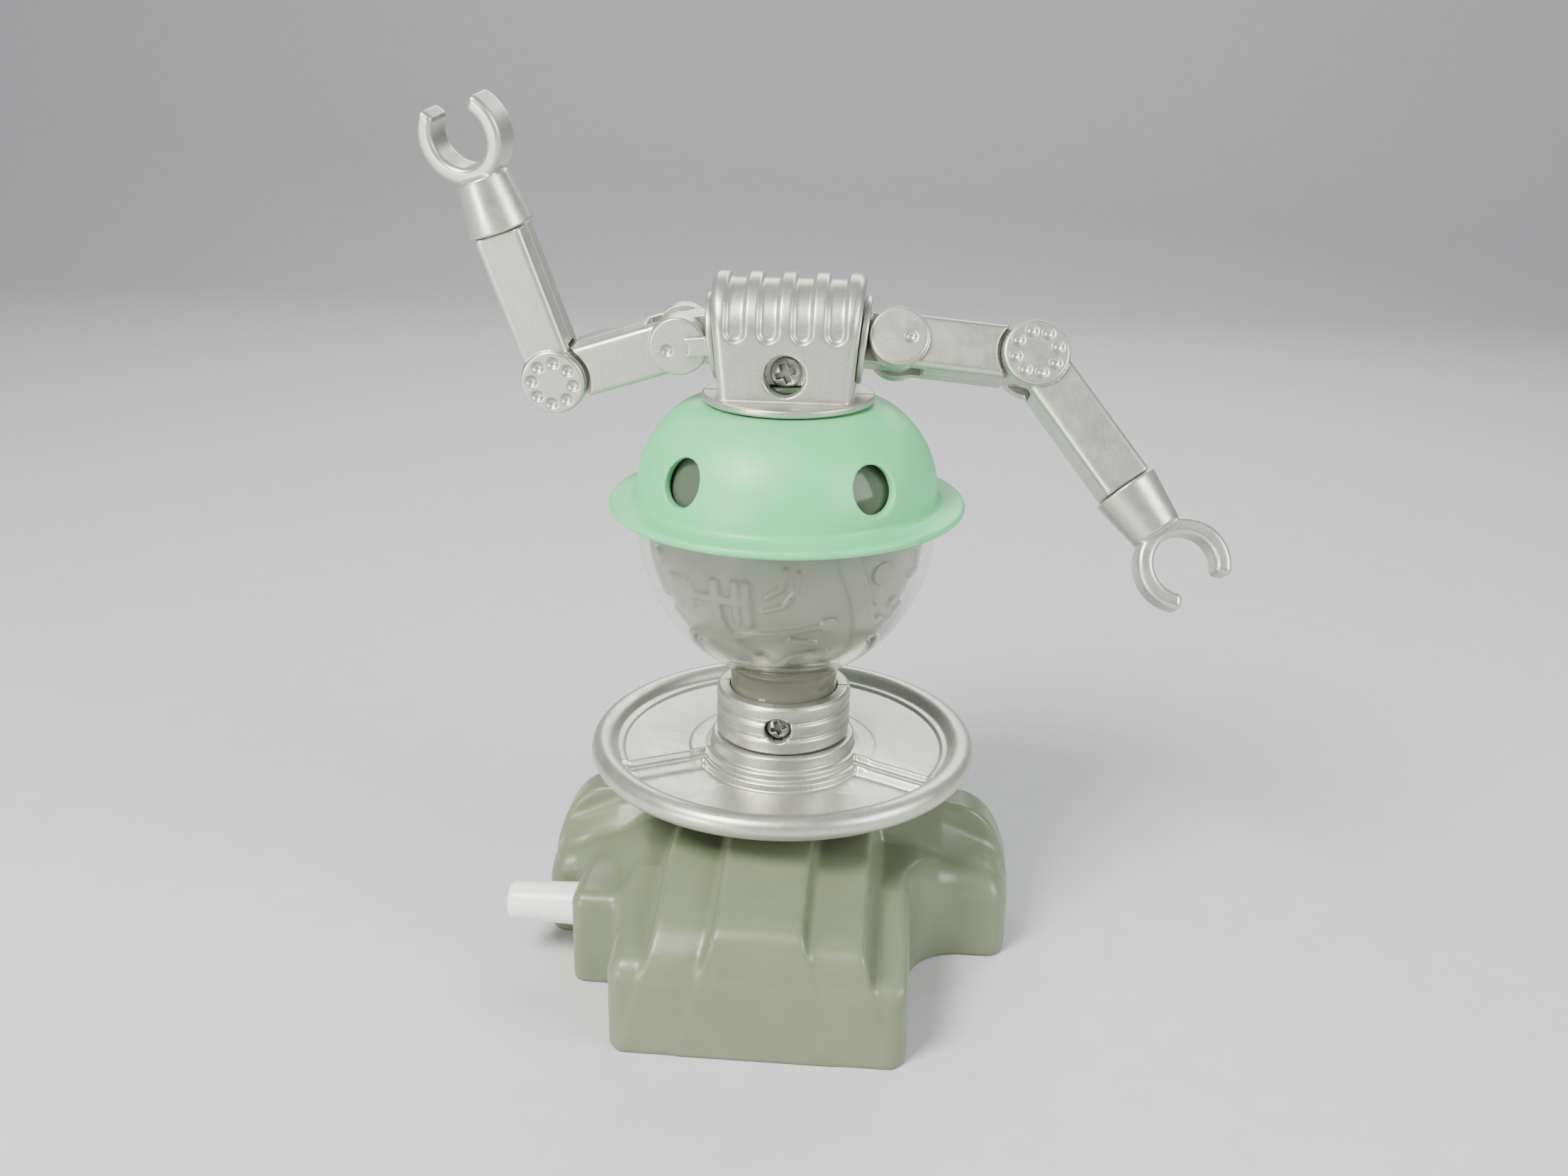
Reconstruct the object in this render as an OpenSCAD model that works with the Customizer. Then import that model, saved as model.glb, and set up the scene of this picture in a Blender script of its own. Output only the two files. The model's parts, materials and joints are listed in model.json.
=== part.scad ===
/* [Base] */
// Half width of the front and back legs
leg_half_w = 19; // [18.5:0.5:20]
// Half length over the front and back legs
leg_half_len = 36.3; // [36:0.1:38]
// Half width of the side wings
wing_half_w = 10; // [9.8:0.1:10.4]
// Half length over the side wings
wing_half_len = 32.4; // [32:0.1:34]
// Wall thickness of the moulded base
base_wall = 1.6; // [1.4:0.1:1.7]
// Height of the push button's axis
button_z = 8.6; // [8.5:0.1:8.7]
// Distance of the push button's axis in front of the spindle
button_y = -16; // [-16.1:0.1:-15.9]

/* [Turntable] */
// Outer radius of the disc
disc_r = 27; // [26.5:0.1:28]
// Radius of the round bead at the disc's edge
bead_r = 1.7; // [1.5:0.1:1.8]
// Height of the bead's middle
bead_z = 27.3; // [27.2:0.1:27.6]
// Outer radius of the ribbed collar
collar_r = 9.36; // [9.3:0.02:9.6]

/* [Globe and hat] */
// Outer radius of the clear bowl
bowl_r = 20; // [19.9:0.1:20.2]
// Depth of the bowl's curve under its widest point
bowl_depth = 21.6; // [21.4:0.1:21.8]
// Height of the bowl's widest point
bowl_z = 60.2; // [60:0.1:60.3]
// Outer radius of the bowl's neck
neck_r = 7.4; // [7.3:0.05:7.45]
// Outer radius of the hat's brim
brim_r = 23.8; // [23:0.1:25]
// Bore of a porthole
porthole_d = 6; // [4.5:0.1:6.4]
// Angle of a porthole either side of straight ahead
porthole_angle = 39; // [34:0.5:45]

/* [Shoulder block] */
// Half width of the block at the height of its arm bores
block_half_w = 9.17; // [9.1:0.01:9.2]
// Half depth of the block
block_half_d = 7.2; // [7:0.1:7.3]
// Lean of the block's sides
side_lean = 5.3; // [5.2:0.1:5.4]
// Droop of the arm axles
axle_droop = 6; // [5.9:0.1:6.1]

/* [Arms] */
// Distance from the block's middle to the ear pivot
ear_s = 14.1; // [14.1:0.05:14.4]
// Distance from the ear pivot to the elbow pivot
upper_len = 17.4; // [16:0.1:19]
// Distance from the elbow pivot to the middle of the claw
fore_len = 32.2; // [32:0.05:32.4]
// Half depth of an upper arm or forearm
arm_half_t = 3.4; // [3.3:0.05:3.45]
// Half height of an upper arm
upper_half_h = 3.4; // [3.3:0.05:3.4]
// Half height of a forearm
fore_half_h = 3.2; // [3.1:0.05:3.2]
// Inner radius of the claw
claw_in_r = 3.8; // [3.6:0.1:4]
// Outer radius of the claw
claw_out_r = 5.9; // [5.6:0.05:5.9]
// Half opening angle of the claw
claw_gap = 40; // [36:1:44]
// Turn, lift, elbow and wrist angles of the left arm as it stands
left_pose = [-6, -12, 90, -16];
// Turn, lift, elbow and wrist angles of the right arm as it stands
right_pose = [-28, 1, -48.5, 0];

/* [Hidden] */
$fn = 64;
eps = 0.01;
run_gap = 0.05; // radial play of a pin in its bore
far = 60; // longer than any cut has to be

// Base: stacked tiers, each [from, to, height at the end, end radius along, end radius up, rise to the hub]
leg_tiers = [
    [-leg_half_w, leg_half_w, 11.7, 2.2, 2.2, 0.25],
    [-leg_half_w, 13.2, 13.3, 2.2, 2.2, 0.25],
    [-13.1, 13.2, 16.4, 2.2, 2.2, 0.25],
    [-5.3, 5.6, 18.6, 2.2, 2.2, 0.25]
];
leg_flat = 19;
right_wing_tiers = [
    [-wing_half_w, wing_half_w, 10, 3, 4, 0.1],
    [-6.5, 6.5, 13.6, 4, 6, 0.25],
    [-3, 3, 19.8, 7.5, 11.3, 0.16]
];
left_wing_tiers = [
    [-wing_half_w, wing_half_w, 12.6, 4, 5, 0.1],
    [-6.5, 6.5, 14.4, 4, 6, 0.25],
    [-3, 3, 19.8, 7.5, 11.3, 0.16]
];
wing_flat = 12;
corner_r = 2.2;
cove_r = 7.5;
cove_h = 10.5;
knob_x = -26.5; // outer face of the button housing
knob_half_w = 6;
knob_h = 13.5;
knob_roof = 1.2;
plate_t = 1.5;
plate_gap = 0.1;
boss_xy = [13.5, 30];
boss_r = 2.4;
screw_r = 0.8;
screw_head_r = 1.7;
bush_r = 4.2;
hub_top = 18.6 + 0.25 * (leg_half_len - 2.2 - leg_flat);
bush_z = [13.5, hub_top + 0.05, 23.6];
spindle_r = 2.5;

// Button, rack and pinion
button_r = 3;
button_tip_r = 2.55;
button_tip_x = -36.2;
button_travel = 6;
gear_m = 0.8;
gear_teeth = 10;
gear_pitch_r = gear_m * gear_teeth / 2;
pressure_angle = 20;
gear_add = 0.6;
rack_add = 0.45;
gear_root_r = 3.1;
backlash = 0.12;
rack_z = [5, 8.6];
carriage_x = [-17.2, -14.5];
carriage_top = 10.4;
post_x = [-4.6, -3];
spring_y = -12.4;
spring_z = 7.2;
spring_coil_r = 1.4;
spring_wire_r = 0.3;

// Turntable
plate_top = 27;
sheet_t = 1.2;
sector_drop = 2;
sector_half = 62;
sector_turn = -2;
sector_apex = 2;
disc_bottom = plate_top - sector_drop - sheet_t;
skirt_r = disc_r - 4.5;
collar_z = [29.4, 36.4];
hub_steps = [[11.6, 26.1], [10.4, 27.4], [9, collar_z[0]]];
collar_screw_z = 33.05;
collar_bore = neck_r + 0.1;
collar_groove_r = 8.35;
flange_r = 8.25;
neck_flange_z = [34.95, 35.8];
spigot_z = [30.1, 31];

// Globe, liner and hat
glass_t = 1.2;
rim_z = 62.5; // where the bowl meets the brim
dome_c = [7, 64.8]; // centre of the dome's shoulder arc
dome_arc_r = 13.1;
hat_t = 1.2;
hat_top = 76.9;
brim_t = 1.2;
liner_arc_r = 11.5;
liner_t = 1;
liner_z = [61.95, 75.4];
insert_rim_z = [60.9, 61.9];
post_r = 4;
post_head_r = 5.2;
post_head_z = [78.55, 79.4];

// Shoulder block
block_z = [76.9, 86.1];
block_flange_r = 11.4;
block_wall = 1.6;
arm_axis_z = 85 + block_half_w * tan(axle_droop);
groove_x = [-6.4, -2.13, 2.13, 6.4];
groove_half_w = 1.2;
groove_depth = 0.45;
groove_end_z = 86.8;
block_screw_z = 81.3;

// Arms, in a frame with X outward along the arm, Y along the pivots and Z up
axle_r = 2.4;
flange_face = 10.15;
tongue_half_t = 1.7;
tongue_r = 3.3;
ear_r = 3.8;
pin_r = 1.4;
cheek_gap = 0.1;
cheek_r = 4.35;
elbow_cut_r = 4.85;
cap_r = 4.2;
cap_face = 4.2;
ear_face = 4.2;
peg_r = 0.9;
journal_r = 1.5;
journal_x = [15.6, 16.8];
journal_collar_r = 2.3;
edge_r = 0.9;
dimple_ring_r = 2.75;
dimple_r = 0.7;
fore_end = 20;
cuff_end = 27;
cuff_r = [4.3, 3.33];
claw_half_t = 2.15;
block_side = block_half_w / cos(side_lean);

function arc(c, r, a0, a1, n) =
    [for (i = [0:n]) let (a = a0 + (a1 - a0) * i / n) [c[0] + r * cos(a), c[1] + r * sin(a)]];
function involute(a) = tan(a) * 180 / PI - a;

// One tier running from the middle out to +Y, its end rounded, all drawn in by t
module tier(half_len, flat, spec, t) {
    h = spec[2] - t;
    rx = spec[3];
    rz = spec[4];
    end = half_len - t;
    outline = concat(
        [[0, 0], [end, 0]],
        [for (i = [0:8]) [end - rx + rx * cos(90 * i / 8), h - rz + rz * sin(90 * i / 8)]],
        [[flat, h + spec[5] * (half_len - rx - flat)], [0, h + spec[5] * (half_len - rx - flat)]]
    );
    translate([spec[0] + t, 0, 0]) rotate([90, 0, 90]) linear_extrude(spec[1] - spec[0] - 2 * t) polygon(outline);
}

// A rectangle with rounded corners, by half sizes
module rounded(hx, hy, r) {
    square([2 * hx - 2 * r, 2 * hy], center = true);
    square([2 * hx, 2 * hy - 2 * r], center = true);
    for (sx = [-1, 1], sy = [-1, 1]) translate([sx * (hx - r), sy * (hy - r)]) circle(r);
}

// The concave corner between a leg and a wing
module cove(sx, sy) {
    difference() {
        translate([sx > 0 ? leg_half_w - 1 : -leg_half_w - cove_r, sy > 0 ? wing_half_w - 1 : -wing_half_w - cove_r, 0])
            cube([cove_r + 1, cove_r + 1, cove_h]);
        translate([sx * (leg_half_w + cove_r), sy * (wing_half_w + cove_r), -eps])
            cylinder(r = cove_r, h = cove_h + 1);
    }
}

// The solid form of the base, drawn in by t on every side
module base_form(t) {
    intersection() {
        union() {
            for (spec = leg_tiers) {
                tier(leg_half_len, leg_flat, spec, t);
                mirror([0, 1, 0]) tier(leg_half_len, leg_flat, spec, t);
            }
            for (spec = right_wing_tiers) rotate(-90) tier(wing_half_len, wing_flat, spec, t);
            for (spec = left_wing_tiers) rotate(90) tier(wing_half_len, wing_flat, spec, t);
        }
        linear_extrude(40) {
            rounded(leg_half_w - t, leg_half_len - t, corner_r);
            rounded(wing_half_len - t, wing_half_w - t, corner_r);
        }
    }
}

module button_housing() {
    r = 2;
    root = -leg_half_w + 1;
    translate([root, 0, 0]) rotate([90, 0, 0]) translate([0, 0, -button_y - knob_half_w])
        linear_extrude(2 * knob_half_w) polygon(concat(
            [[0, 0], [0, knob_h]],
            arc([knob_x - root + r, knob_h - r], r, 90, 180, 8),
            [[knob_x - root, 0]]
        ));
}

module base_shell() color("#7d8673") {
    difference() {
        union() {
            base_form(0);
            button_housing();
            cove(1, -1);
            cove(1, 1);
            cove(-1, 1);
        }
        difference() {
            translate([0, 0, -eps]) base_form(base_wall);
            translate([0, 0, bush_z[0]]) cylinder(r = bush_r + 2, h = far);
            for (sx = [-1, 1], sy = [-1, 1]) translate([sx * boss_xy[0], sy * boss_xy[1], plate_t + 0.02])
                cylinder(r = boss_r, h = far);
        }
        translate([knob_x + base_wall, button_y - 4.2, -eps]) cube([12, 8.4 + 1.5, knob_h - knob_roof]);
        translate([0, 0, -eps]) cylinder(r = bush_r, h = far);
        translate([knob_x - 1, button_y, button_z]) rotate([0, 90, 0]) cylinder(r = button_r + run_gap, h = 4);
        for (sx = [-1, 1], sy = [-1, 1]) translate([sx * boss_xy[0], sy * boss_xy[1], 0])
            cylinder(r = screw_r, h = 9.5);
    }
}

module base_plate() color("#6f7866") {
    inset = base_wall + plate_gap;
    difference() {
        union() {
            linear_extrude(plate_t) {
                rounded(leg_half_w - inset, leg_half_len - inset, corner_r);
                rounded(wing_half_len - inset, wing_half_w - inset, corner_r);
            }
            translate([knob_x + inset, button_y - 4.1, 0]) cube([9, 8, plate_t]);
            cylinder(r = 4.6, h = 3.4);
            translate([-7.8, -8.7, 0]) cube([17, 1.2, 8]);
            translate([-7.8, -7.6, 0]) cube([17, 2.3, rack_z[0] - 0.1]);
            translate([post_x[0], spring_y - 2.2, 0]) cube([post_x[1] - post_x[0], 4.4, 9.4]);
        }
        translate([0, 0, plate_t]) cylinder(r = spindle_r + run_gap, h = far);
        for (sx = [-1, 1], sy = [-1, 1]) translate([sx * boss_xy[0], sy * boss_xy[1], 0]) {
            translate([0, 0, -eps]) cylinder(r = 1, h = 3);
            translate([0, 0, -eps]) cylinder(r = screw_head_r + 0.1, h = 0.9);
        }
    }
}

// A Phillips screw pointing along +Z, its head's face at z = 0
module screw(head_r, head_h, shank_r, shank_h) {
    difference() {
        union() {
            cylinder(r = head_r, h = head_h);
            translate([0, 0, head_h]) cylinder(r = shank_r, h = shank_h);
        }
        for (a = [0, 90]) rotate(a) translate([0, 0, head_h * 0.3])
            cube([head_r * 1.3, head_r * 0.28, head_h * 0.7], center = true);
    }
}

module base_screws() color("#9a9a9a") {
    for (sx = [-1, 1], sy = [-1, 1]) translate([sx * boss_xy[0], sy * boss_xy[1], 0.05])
        screw(screw_head_r, 0.8, screw_r - 0.02, 8);
}

module spindle_bush() color("white") {
    difference() {
        union() {
            translate([0, 0, bush_z[0]]) cylinder(r = bush_r - 0.02, h = bush_z[2] - bush_z[0]);
            translate([0, 0, bush_z[1]]) cylinder(r = 5.6, h = bush_z[2] - bush_z[1]);
        }
        cylinder(r = spindle_r + run_gap, h = far);
    }
}

// A wire swept along a helix about X
module return_spring() color("#a8a8a8") {
    turns = 6;
    per_turn = 16;
    sides = 6;
    x0 = carriage_x[1] + spring_wire_r + 0.05;
    x1 = post_x[0] - spring_wire_r - 0.05;
    rings = turns * per_turn;
    points = [for (i = [0:rings], j = [0:sides - 1]) let (
        a = 360 * i / per_turn,
        b = 360 * j / sides,
        r = spring_coil_r + spring_wire_r * cos(b)
    ) [x0 + (x1 - x0) * i / rings + spring_wire_r * sin(b), spring_y + r * cos(a), spring_z + r * sin(a)]];
    walls = [for (i = [0:rings - 1], j = [0:sides - 1]) let (k = (j + 1) % sides)
        [i * sides + j, i * sides + k, (i + 1) * sides + k, (i + 1) * sides + j]];
    first = [for (j = [0:sides - 1]) sides - 1 - j];
    last = [for (j = [0:sides - 1]) rings * sides + j];
    polyhedron(points, concat(walls, [first, last]));
}

module push_button() color("white") {
    tip_round = 0.9;
    collar_out = -knob_x - base_wall - 0.1;
    collar_in = collar_out - 1.2;
    difference() {
        translate([0, button_y, button_z]) rotate([0, -90, 0]) rotate_extrude() polygon(concat(
            [[0, -carriage_x[0]], [2.2, -carriage_x[0]], [2.2, collar_in], [3.9, collar_in]],
            [[3.9, collar_out], [button_r, collar_out], [button_r, -knob_x]],
            arc([button_tip_r - tip_round, -button_tip_x - tip_round], tip_round, 0, 90, 6),
            [[0, -button_tip_x]]
        ));
        translate([-collar_out, button_y - 5, knob_h - knob_roof - 0.2]) cube([1.3, 10, 5]);
    }
}

module rack_carriage() color("white") {
    rack_root = -gear_pitch_r - 0.9;
    pitch = PI * gear_m;
    half_pitch_w = (pitch / 2 - backlash) / 2;
    tip_w = half_pitch_w - rack_add * tan(pressure_angle);
    foot_w = half_pitch_w + 0.9 * tan(pressure_angle);
    translate([carriage_x[0], button_y - 2.6, rack_z[0]])
        cube([carriage_x[1] - carriage_x[0], rack_root - button_y + 2.6, carriage_top - rack_z[0]]);
    translate([0, 0, rack_z[0]]) linear_extrude(rack_z[1] - rack_z[0]) {
        translate([carriage_x[0], -7.35]) square([4.4 - carriage_x[0], rack_root + 7.35]);
        for (i = [-5:1]) translate([i * pitch, 0]) polygon([
            [-foot_w, rack_root - eps], [foot_w, rack_root - eps],
            [tip_w, -gear_pitch_r + rack_add], [-tip_w, -gear_pitch_r + rack_add]
        ]);
    }
}

module spindle() color("white") {
    translate([0, 0, plate_t + 0.1]) cylinder(r = spindle_r, h = plate_top - plate_t - 0.2);
}

module pinion() color("white") {
    base_r = gear_pitch_r * cos(pressure_angle);
    tip_r = gear_pitch_r + gear_add;
    steps = 5;
    half_at_pitch = 90 / gear_teeth - backlash / 2 / gear_pitch_r * 180 / PI + involute(pressure_angle);
    radii = [for (i = [0:steps]) base_r + (tip_r - base_r) * i / steps];
    flank = concat(
        [[gear_root_r, half_at_pitch]],
        [for (r = radii) [r, half_at_pitch - involute(acos(base_r / r))]]
    );
    n = len(flank) - 1;
    tooth = concat(
        [for (i = [0:n]) [flank[i][0], -flank[i][1]]],
        [for (i = [n:-1:0]) flank[i]]
    );
    outline = [for (k = [0:gear_teeth - 1], p = tooth) let (a = p[1] + k * 360 / gear_teeth)
        [p[0] * cos(a), p[0] * sin(a)]];
    translate([0, 0, 4.6]) difference() {
        linear_extrude(4.4) polygon(outline);
        translate([0, 0, -1]) cylinder(r = spindle_r, h = 10);
    }
}

module retaining_clip() color("#9a9a9a") {
    translate([0, 0, 12.4]) rotate(60) rotate_extrude(angle = 300) translate([spindle_r, 0]) square([1.5, 0.8]);
}

// The part of the disc that is pressed down, grown by g
module sector(g) {
    rotate(sector_turn) translate([0, sector_apex + g / sin(sector_half)]) polygon([
        [0, 0],
        [-far * sin(sector_half), -far * cos(sector_half)],
        [far * sin(sector_half), -far * cos(sector_half)]
    ]);
}

module turntable_disc() color("#b4b4b6") {
    ring_r = disc_r - bead_r;
    difference() {
        union() {
            translate([0, 0, bead_z]) rotate_extrude($fn = 96) translate([ring_r, 0]) circle(bead_r, $fn = 24);
            translate([0, 0, disc_bottom]) linear_extrude(plate_top - disc_bottom) difference() {
                circle(skirt_r, $fn = 96);
                circle(skirt_r - sheet_t, $fn = 96);
            }
            translate([0, 0, plate_top - sheet_t]) linear_extrude(sheet_t) difference() {
                circle(ring_r - 0.6, $fn = 96);
                intersection() {
                    circle(skirt_r - sheet_t, $fn = 96);
                    sector(0);
                }
            }
            translate([0, 0, disc_bottom]) linear_extrude(sheet_t) intersection() {
                circle(skirt_r - 0.6, $fn = 96);
                sector(sheet_t);
            }
            translate([0, 0, disc_bottom]) linear_extrude(plate_top - disc_bottom) intersection() {
                circle(skirt_r - 0.6, $fn = 96);
                difference() {
                    sector(sheet_t);
                    sector(0);
                }
            }
            for (s = hub_steps) translate([0, 0, disc_bottom]) cylinder(r = s[0], h = s[1] - disc_bottom);
            cylinder_at(7, [disc_bottom, spigot_z[1]]);
            cylinder_at(flange_r, spigot_z);
        }
        cylinder(r = spindle_r + 0.01, h = plate_top - 0.1);
    }
}

module cylinder_at(r, z) {
    translate([0, 0, z[0]]) cylinder(r = r, h = z[1] - z[0]);
}

// One half of the ribbed collar, on the side where Y is negative
module collar_half() {
    ring_h = (collar_z[1] - collar_z[0]) / 3;
    bulge = 0.4;
    outside = [for (i = [0:2], k = [0:5]) [
        collar_r - bulge + bulge * sin(180 * (k + 0.5) / 6),
        collar_z[0] + ring_h * (i + (k + 0.5) / 6)
    ]];
    rotate(180) rotate_extrude(angle = 180) polygon(concat(
        [[7.1, collar_z[0]], [collar_r - bulge, collar_z[0]]],
        outside,
        [[collar_r - bulge, collar_z[1]], [collar_bore, collar_z[1]], [collar_bore, 35.9],
        [collar_groove_r, 35.9], [collar_groove_r, 30], [7.1, 30]]
    ));
}

module collar_front() color("#b4b4b6") {
    difference() {
        union() {
            translate([-2.8, -8.7, 31.2]) cube([5.6, 4.7, 3.6]);
            collar_half();
        }
        translate([0, -7.9, collar_screw_z]) rotate([90, 0, 0]) cylinder(r = 1.65, h = 5);
        translate([0, 0, collar_screw_z]) rotate([90, 0, 0]) cylinder(r = 0.9, h = 20);
    }
}

module collar_back() color("#b4b4b6") {
    rotate(180) collar_half();
    difference() {
        translate([0, 8.6, collar_screw_z]) rotate([90, 0, 0]) cylinder(r = 1.5, h = 12.5);
        translate([0, 4, collar_screw_z]) rotate([90, 0, 0]) cylinder(r = 0.72, h = 12);
    }
}

module collar_screw() color("#8c8c8c") {
    translate([0, -8.8, collar_screw_z]) rotate([-90, 0, 0]) screw(1.55, 0.9, 0.7, 8);
}

// Points of the bowl's curve, drawn in by t, from the height z0 up to z1
function bowl_curve(t, z0, z1, n) = [for (i = [0:n]) let (
    a0 = asin((z0 - bowl_z) / (bowl_depth - t)),
    a1 = asin((z1 - bowl_z) / (bowl_depth - t)),
    a = a0 + (a1 - a0) * i / n
) [(bowl_r - t) * cos(a), bowl_z + (bowl_depth - t) * sin(a)]];

module globe_bowl() color("#dfe3d6", 0.45) {
    bore = neck_r - glass_t;
    inside = bowl_curve(glass_t, 40.7, rim_z, 20);
    difference() {
        rotate_extrude() polygon(concat(
            [[bore, neck_flange_z[0]], [flange_r, neck_flange_z[0]], [flange_r, neck_flange_z[1]]],
            [[neck_r, neck_flange_z[1]], [neck_r, 39.75]],
            bowl_curve(0, 40.1, rim_z, 20),
            [for (i = [20:-1:0]) inside[i]]
        ));
        for (i = [0:11]) rotate(i * 30) translate([bore, 0, 34]) cylinder(r = 0.35, h = 5, $fn = 16);
    }
}

// A clear inner bowl whose outside carries the raised machine shapes
module machinery_insert() color("#e4e6da", 0.6) {
    skin = 17.2;
    relief = 18.4;
    band = [46.6, insert_rim_z[0] + 0.1];
    difference() {
        union() {
            intersection() {
                translate([0, 0, bowl_z]) sphere(skin);
                translate([-far, -far, band[0]]) cube([2 * far, 2 * far, band[1] - band[0]]);
            }
            intersection() {
                translate([0, 0, bowl_z]) sphere(relief);
                translate([-far, -far, band[0]]) cube([2 * far, 2 * far, band[1] - band[0]]);
                translate([0, 0, bowl_z]) for (turn = [0, 180]) rotate(turn) machine_shapes(skin);
            }
            cylinder_at(bowl_r - glass_t - 0.1, insert_rim_z);
        }
        translate([0, 0, bowl_z]) sphere(skin - 1);
    }
}

module machine_shapes(skin) {
    coil_y = -14.6;
    for (i = [0:4]) translate([-8.4 + i * 1.5, coil_y, -5.2]) rotate([0, 90, 0]) cylinder(r = 1.6, h = 0.8);
    translate([-13, coil_y, -5.2]) rotate([0, 90, 0]) cylinder(r = 0.7, h = 14);
    translate([-9, coil_y, -9.5]) rotate([0, 62, 0]) cylinder(r = 0.6, h = 14);
    translate([-3.4, coil_y + 0.4, -8.4]) rotate([0, 105, 0]) cylinder(r = 0.6, h = 9);
    for (a = [14, 22]) rotate(a) translate([-0.7, -skin - 1, -12]) cube([1.4, 3, 14]);
    for (p = [[38, -6], [46, -3], [46, -8], [54, -5], [36, -1]]) rotate(p[0])
        translate([0, 0, p[1]]) rotate([90, 0, 0]) cylinder(r = 1, h = skin + 2);
}

module globe_liner() color("#c9c6ae", 0.6) {
    in_r = liner_arc_r - liner_t;
    in_top = liner_z[1] - liner_t;
    rotate_extrude() polygon(concat(
        [[dome_c[0] + liner_arc_r, liner_z[0]]],
        arc(dome_c, liner_arc_r, 0, asin((liner_z[1] - dome_c[1]) / liner_arc_r), 10),
        [[post_r, liner_z[1]], [post_r, post_head_z[0]], [post_head_r, post_head_z[0]]],
        [[post_head_r, post_head_z[1]], [2.4, post_head_z[1]], [2.4, in_top]],
        arc(dome_c, in_r, asin((in_top - dome_c[1]) / in_r), 0, 10),
        [[dome_c[0] + in_r, liner_z[0]]]
    ));
}

module hat() color("#8fd0ae") {
    wall_r = dome_c[0] + dome_arc_r;
    top_angle = asin((hat_top - dome_c[1]) / dome_arc_r);
    inner = dome_arc_r - hat_t;
    inner_top = hat_top - hat_t;
    lip = brim_t / 2;
    difference() {
        rotate_extrude($fn = 96) polygon(concat(
            [[dome_c[0] + inner, rim_z]],
            arc([brim_r - lip, rim_z + lip], lip, -90, 90, 6),
            [[wall_r + 0.6, rim_z + brim_t + 0.25], [wall_r, rim_z + brim_t + 0.9]],
            arc(dome_c, dome_arc_r, 0, top_angle, 12),
            [[post_r + 0.2, hat_top], [post_r + 0.2, inner_top]],
            arc(dome_c, inner, asin((inner_top - dome_c[1]) / inner), 0, 12)
        ));
        for (a = [-1, 1], back = [0, 180]) rotate(back + a * porthole_angle) translate([0, 0, 69.1])
            rotate([90, 0, 0]) cylinder(d = porthole_d, h = far);
    }
}

// The block seen from the side, drawn in by t and run along X
module block_side(t) {
    r = block_half_d - t;
    rotate([90, 0, 90]) linear_extrude(40, center = true) polygon(concat(
        [[-r, block_z[0] + t], [r, block_z[0] + t]],
        arc([0, block_z[1]], r, 0, 180, 36)
    ));
}

// The block's outer form, drawn in by t
module block_form(t) {
    low = block_half_w - t / cos(side_lean) - (85 - block_z[0]) * tan(side_lean);
    high = block_half_w - t / cos(side_lean) + (95 - 85) * tan(side_lean);
    intersection() {
        rotate([90, 0, 0]) linear_extrude(20, center = true)
            polygon([[-low, block_z[0]], [low, block_z[0]], [high, 95], [-high, 95]]);
        block_side(t);
    }
}

// The grooves that run over the block's top from front to back
module grooves() {
    difference() {
        for (x = groove_x) rotate([90, 0, 0]) linear_extrude(20, center = true) polygon(concat(
            [[x + groove_half_w, 95], [x - groove_half_w, 95]],
            arc([x, groove_end_z], groove_half_w, 180, 360, 12)
        ));
        block_side(groove_depth);
    }
}

// Everything that the arm frame of one side is drawn in
module arm_frame(side) {
    translate([0, 0, arm_axis_z]) rotate(side > 0 ? 0 : 180) rotate([0, axle_droop, 0]) children();
}

module along_x(r, x0, x1) {
    translate([x0, 0, 0]) rotate([0, 90, 0]) cylinder(r = r, h = x1 - x0);
}

module across_y(r, y0, y1) {
    translate([0, y0, 0]) rotate([-90, 0, 0]) cylinder(r = r, h = y1 - y0);
}

module block_half(front) {
    difference() {
        intersection() {
            union() {
                block_form(0);
                cylinder_at(block_flange_r, [block_z[0], block_z[0] + 1]);
            }
            translate([-far, front ? -far : 0, 0]) cube([2 * far, far, 2 * far]);
        }
        block_form(block_wall);
        rotate(45) cylinder_at(post_r + 0.1, [0, 80]);
        grooves();
        for (side = [-1, 1]) arm_frame(side) rotate([45, 0, 0]) along_x(axle_r + run_gap, 2, 12);
    }
}

module block_front() color("#b8b8ba") {
    difference() {
        union() {
            block_half(true);
            translate([0, -block_half_d + 0.5, block_screw_z]) rotate([-90, 0, 0]) cylinder(r = 2.9, h = 3.7);
        }
        translate([0, -block_half_d - 1, block_screw_z]) rotate([-90, 0, 0]) cylinder(r = 2.2, h = 3.6);
        translate([0, -block_half_d, block_screw_z]) rotate([-90, 0, 0]) cylinder(r = 1.2, h = 5);
        rotate(45) cylinder_at(post_r + 0.1, [0, 80]);
        cylinder_at(post_head_r + 0.1, [block_z[0] + block_wall, post_head_z[1] + 0.1]);
    }
}

module block_back() color("#b8b8ba") {
    difference() {
        union() {
            block_half(false);
            translate([0, -2.95, block_screw_z]) rotate([-90, 0, 0]) cylinder(r = 1.4, h = 9.5);
        }
        translate([0, -4, block_screw_z]) rotate([-90, 0, 0]) cylinder(r = 0.8, h = 8);
        cylinder_at(post_head_r + 0.1, [block_z[0] + block_wall, post_head_z[1] + 0.1]);
    }
}

module block_screw() color("#8c8c8c") {
    translate([0, -block_half_d + 1.5, block_screw_z]) rotate([-90, 0, 0]) screw(1.75, 1, 0.78, 7);
}

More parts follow.
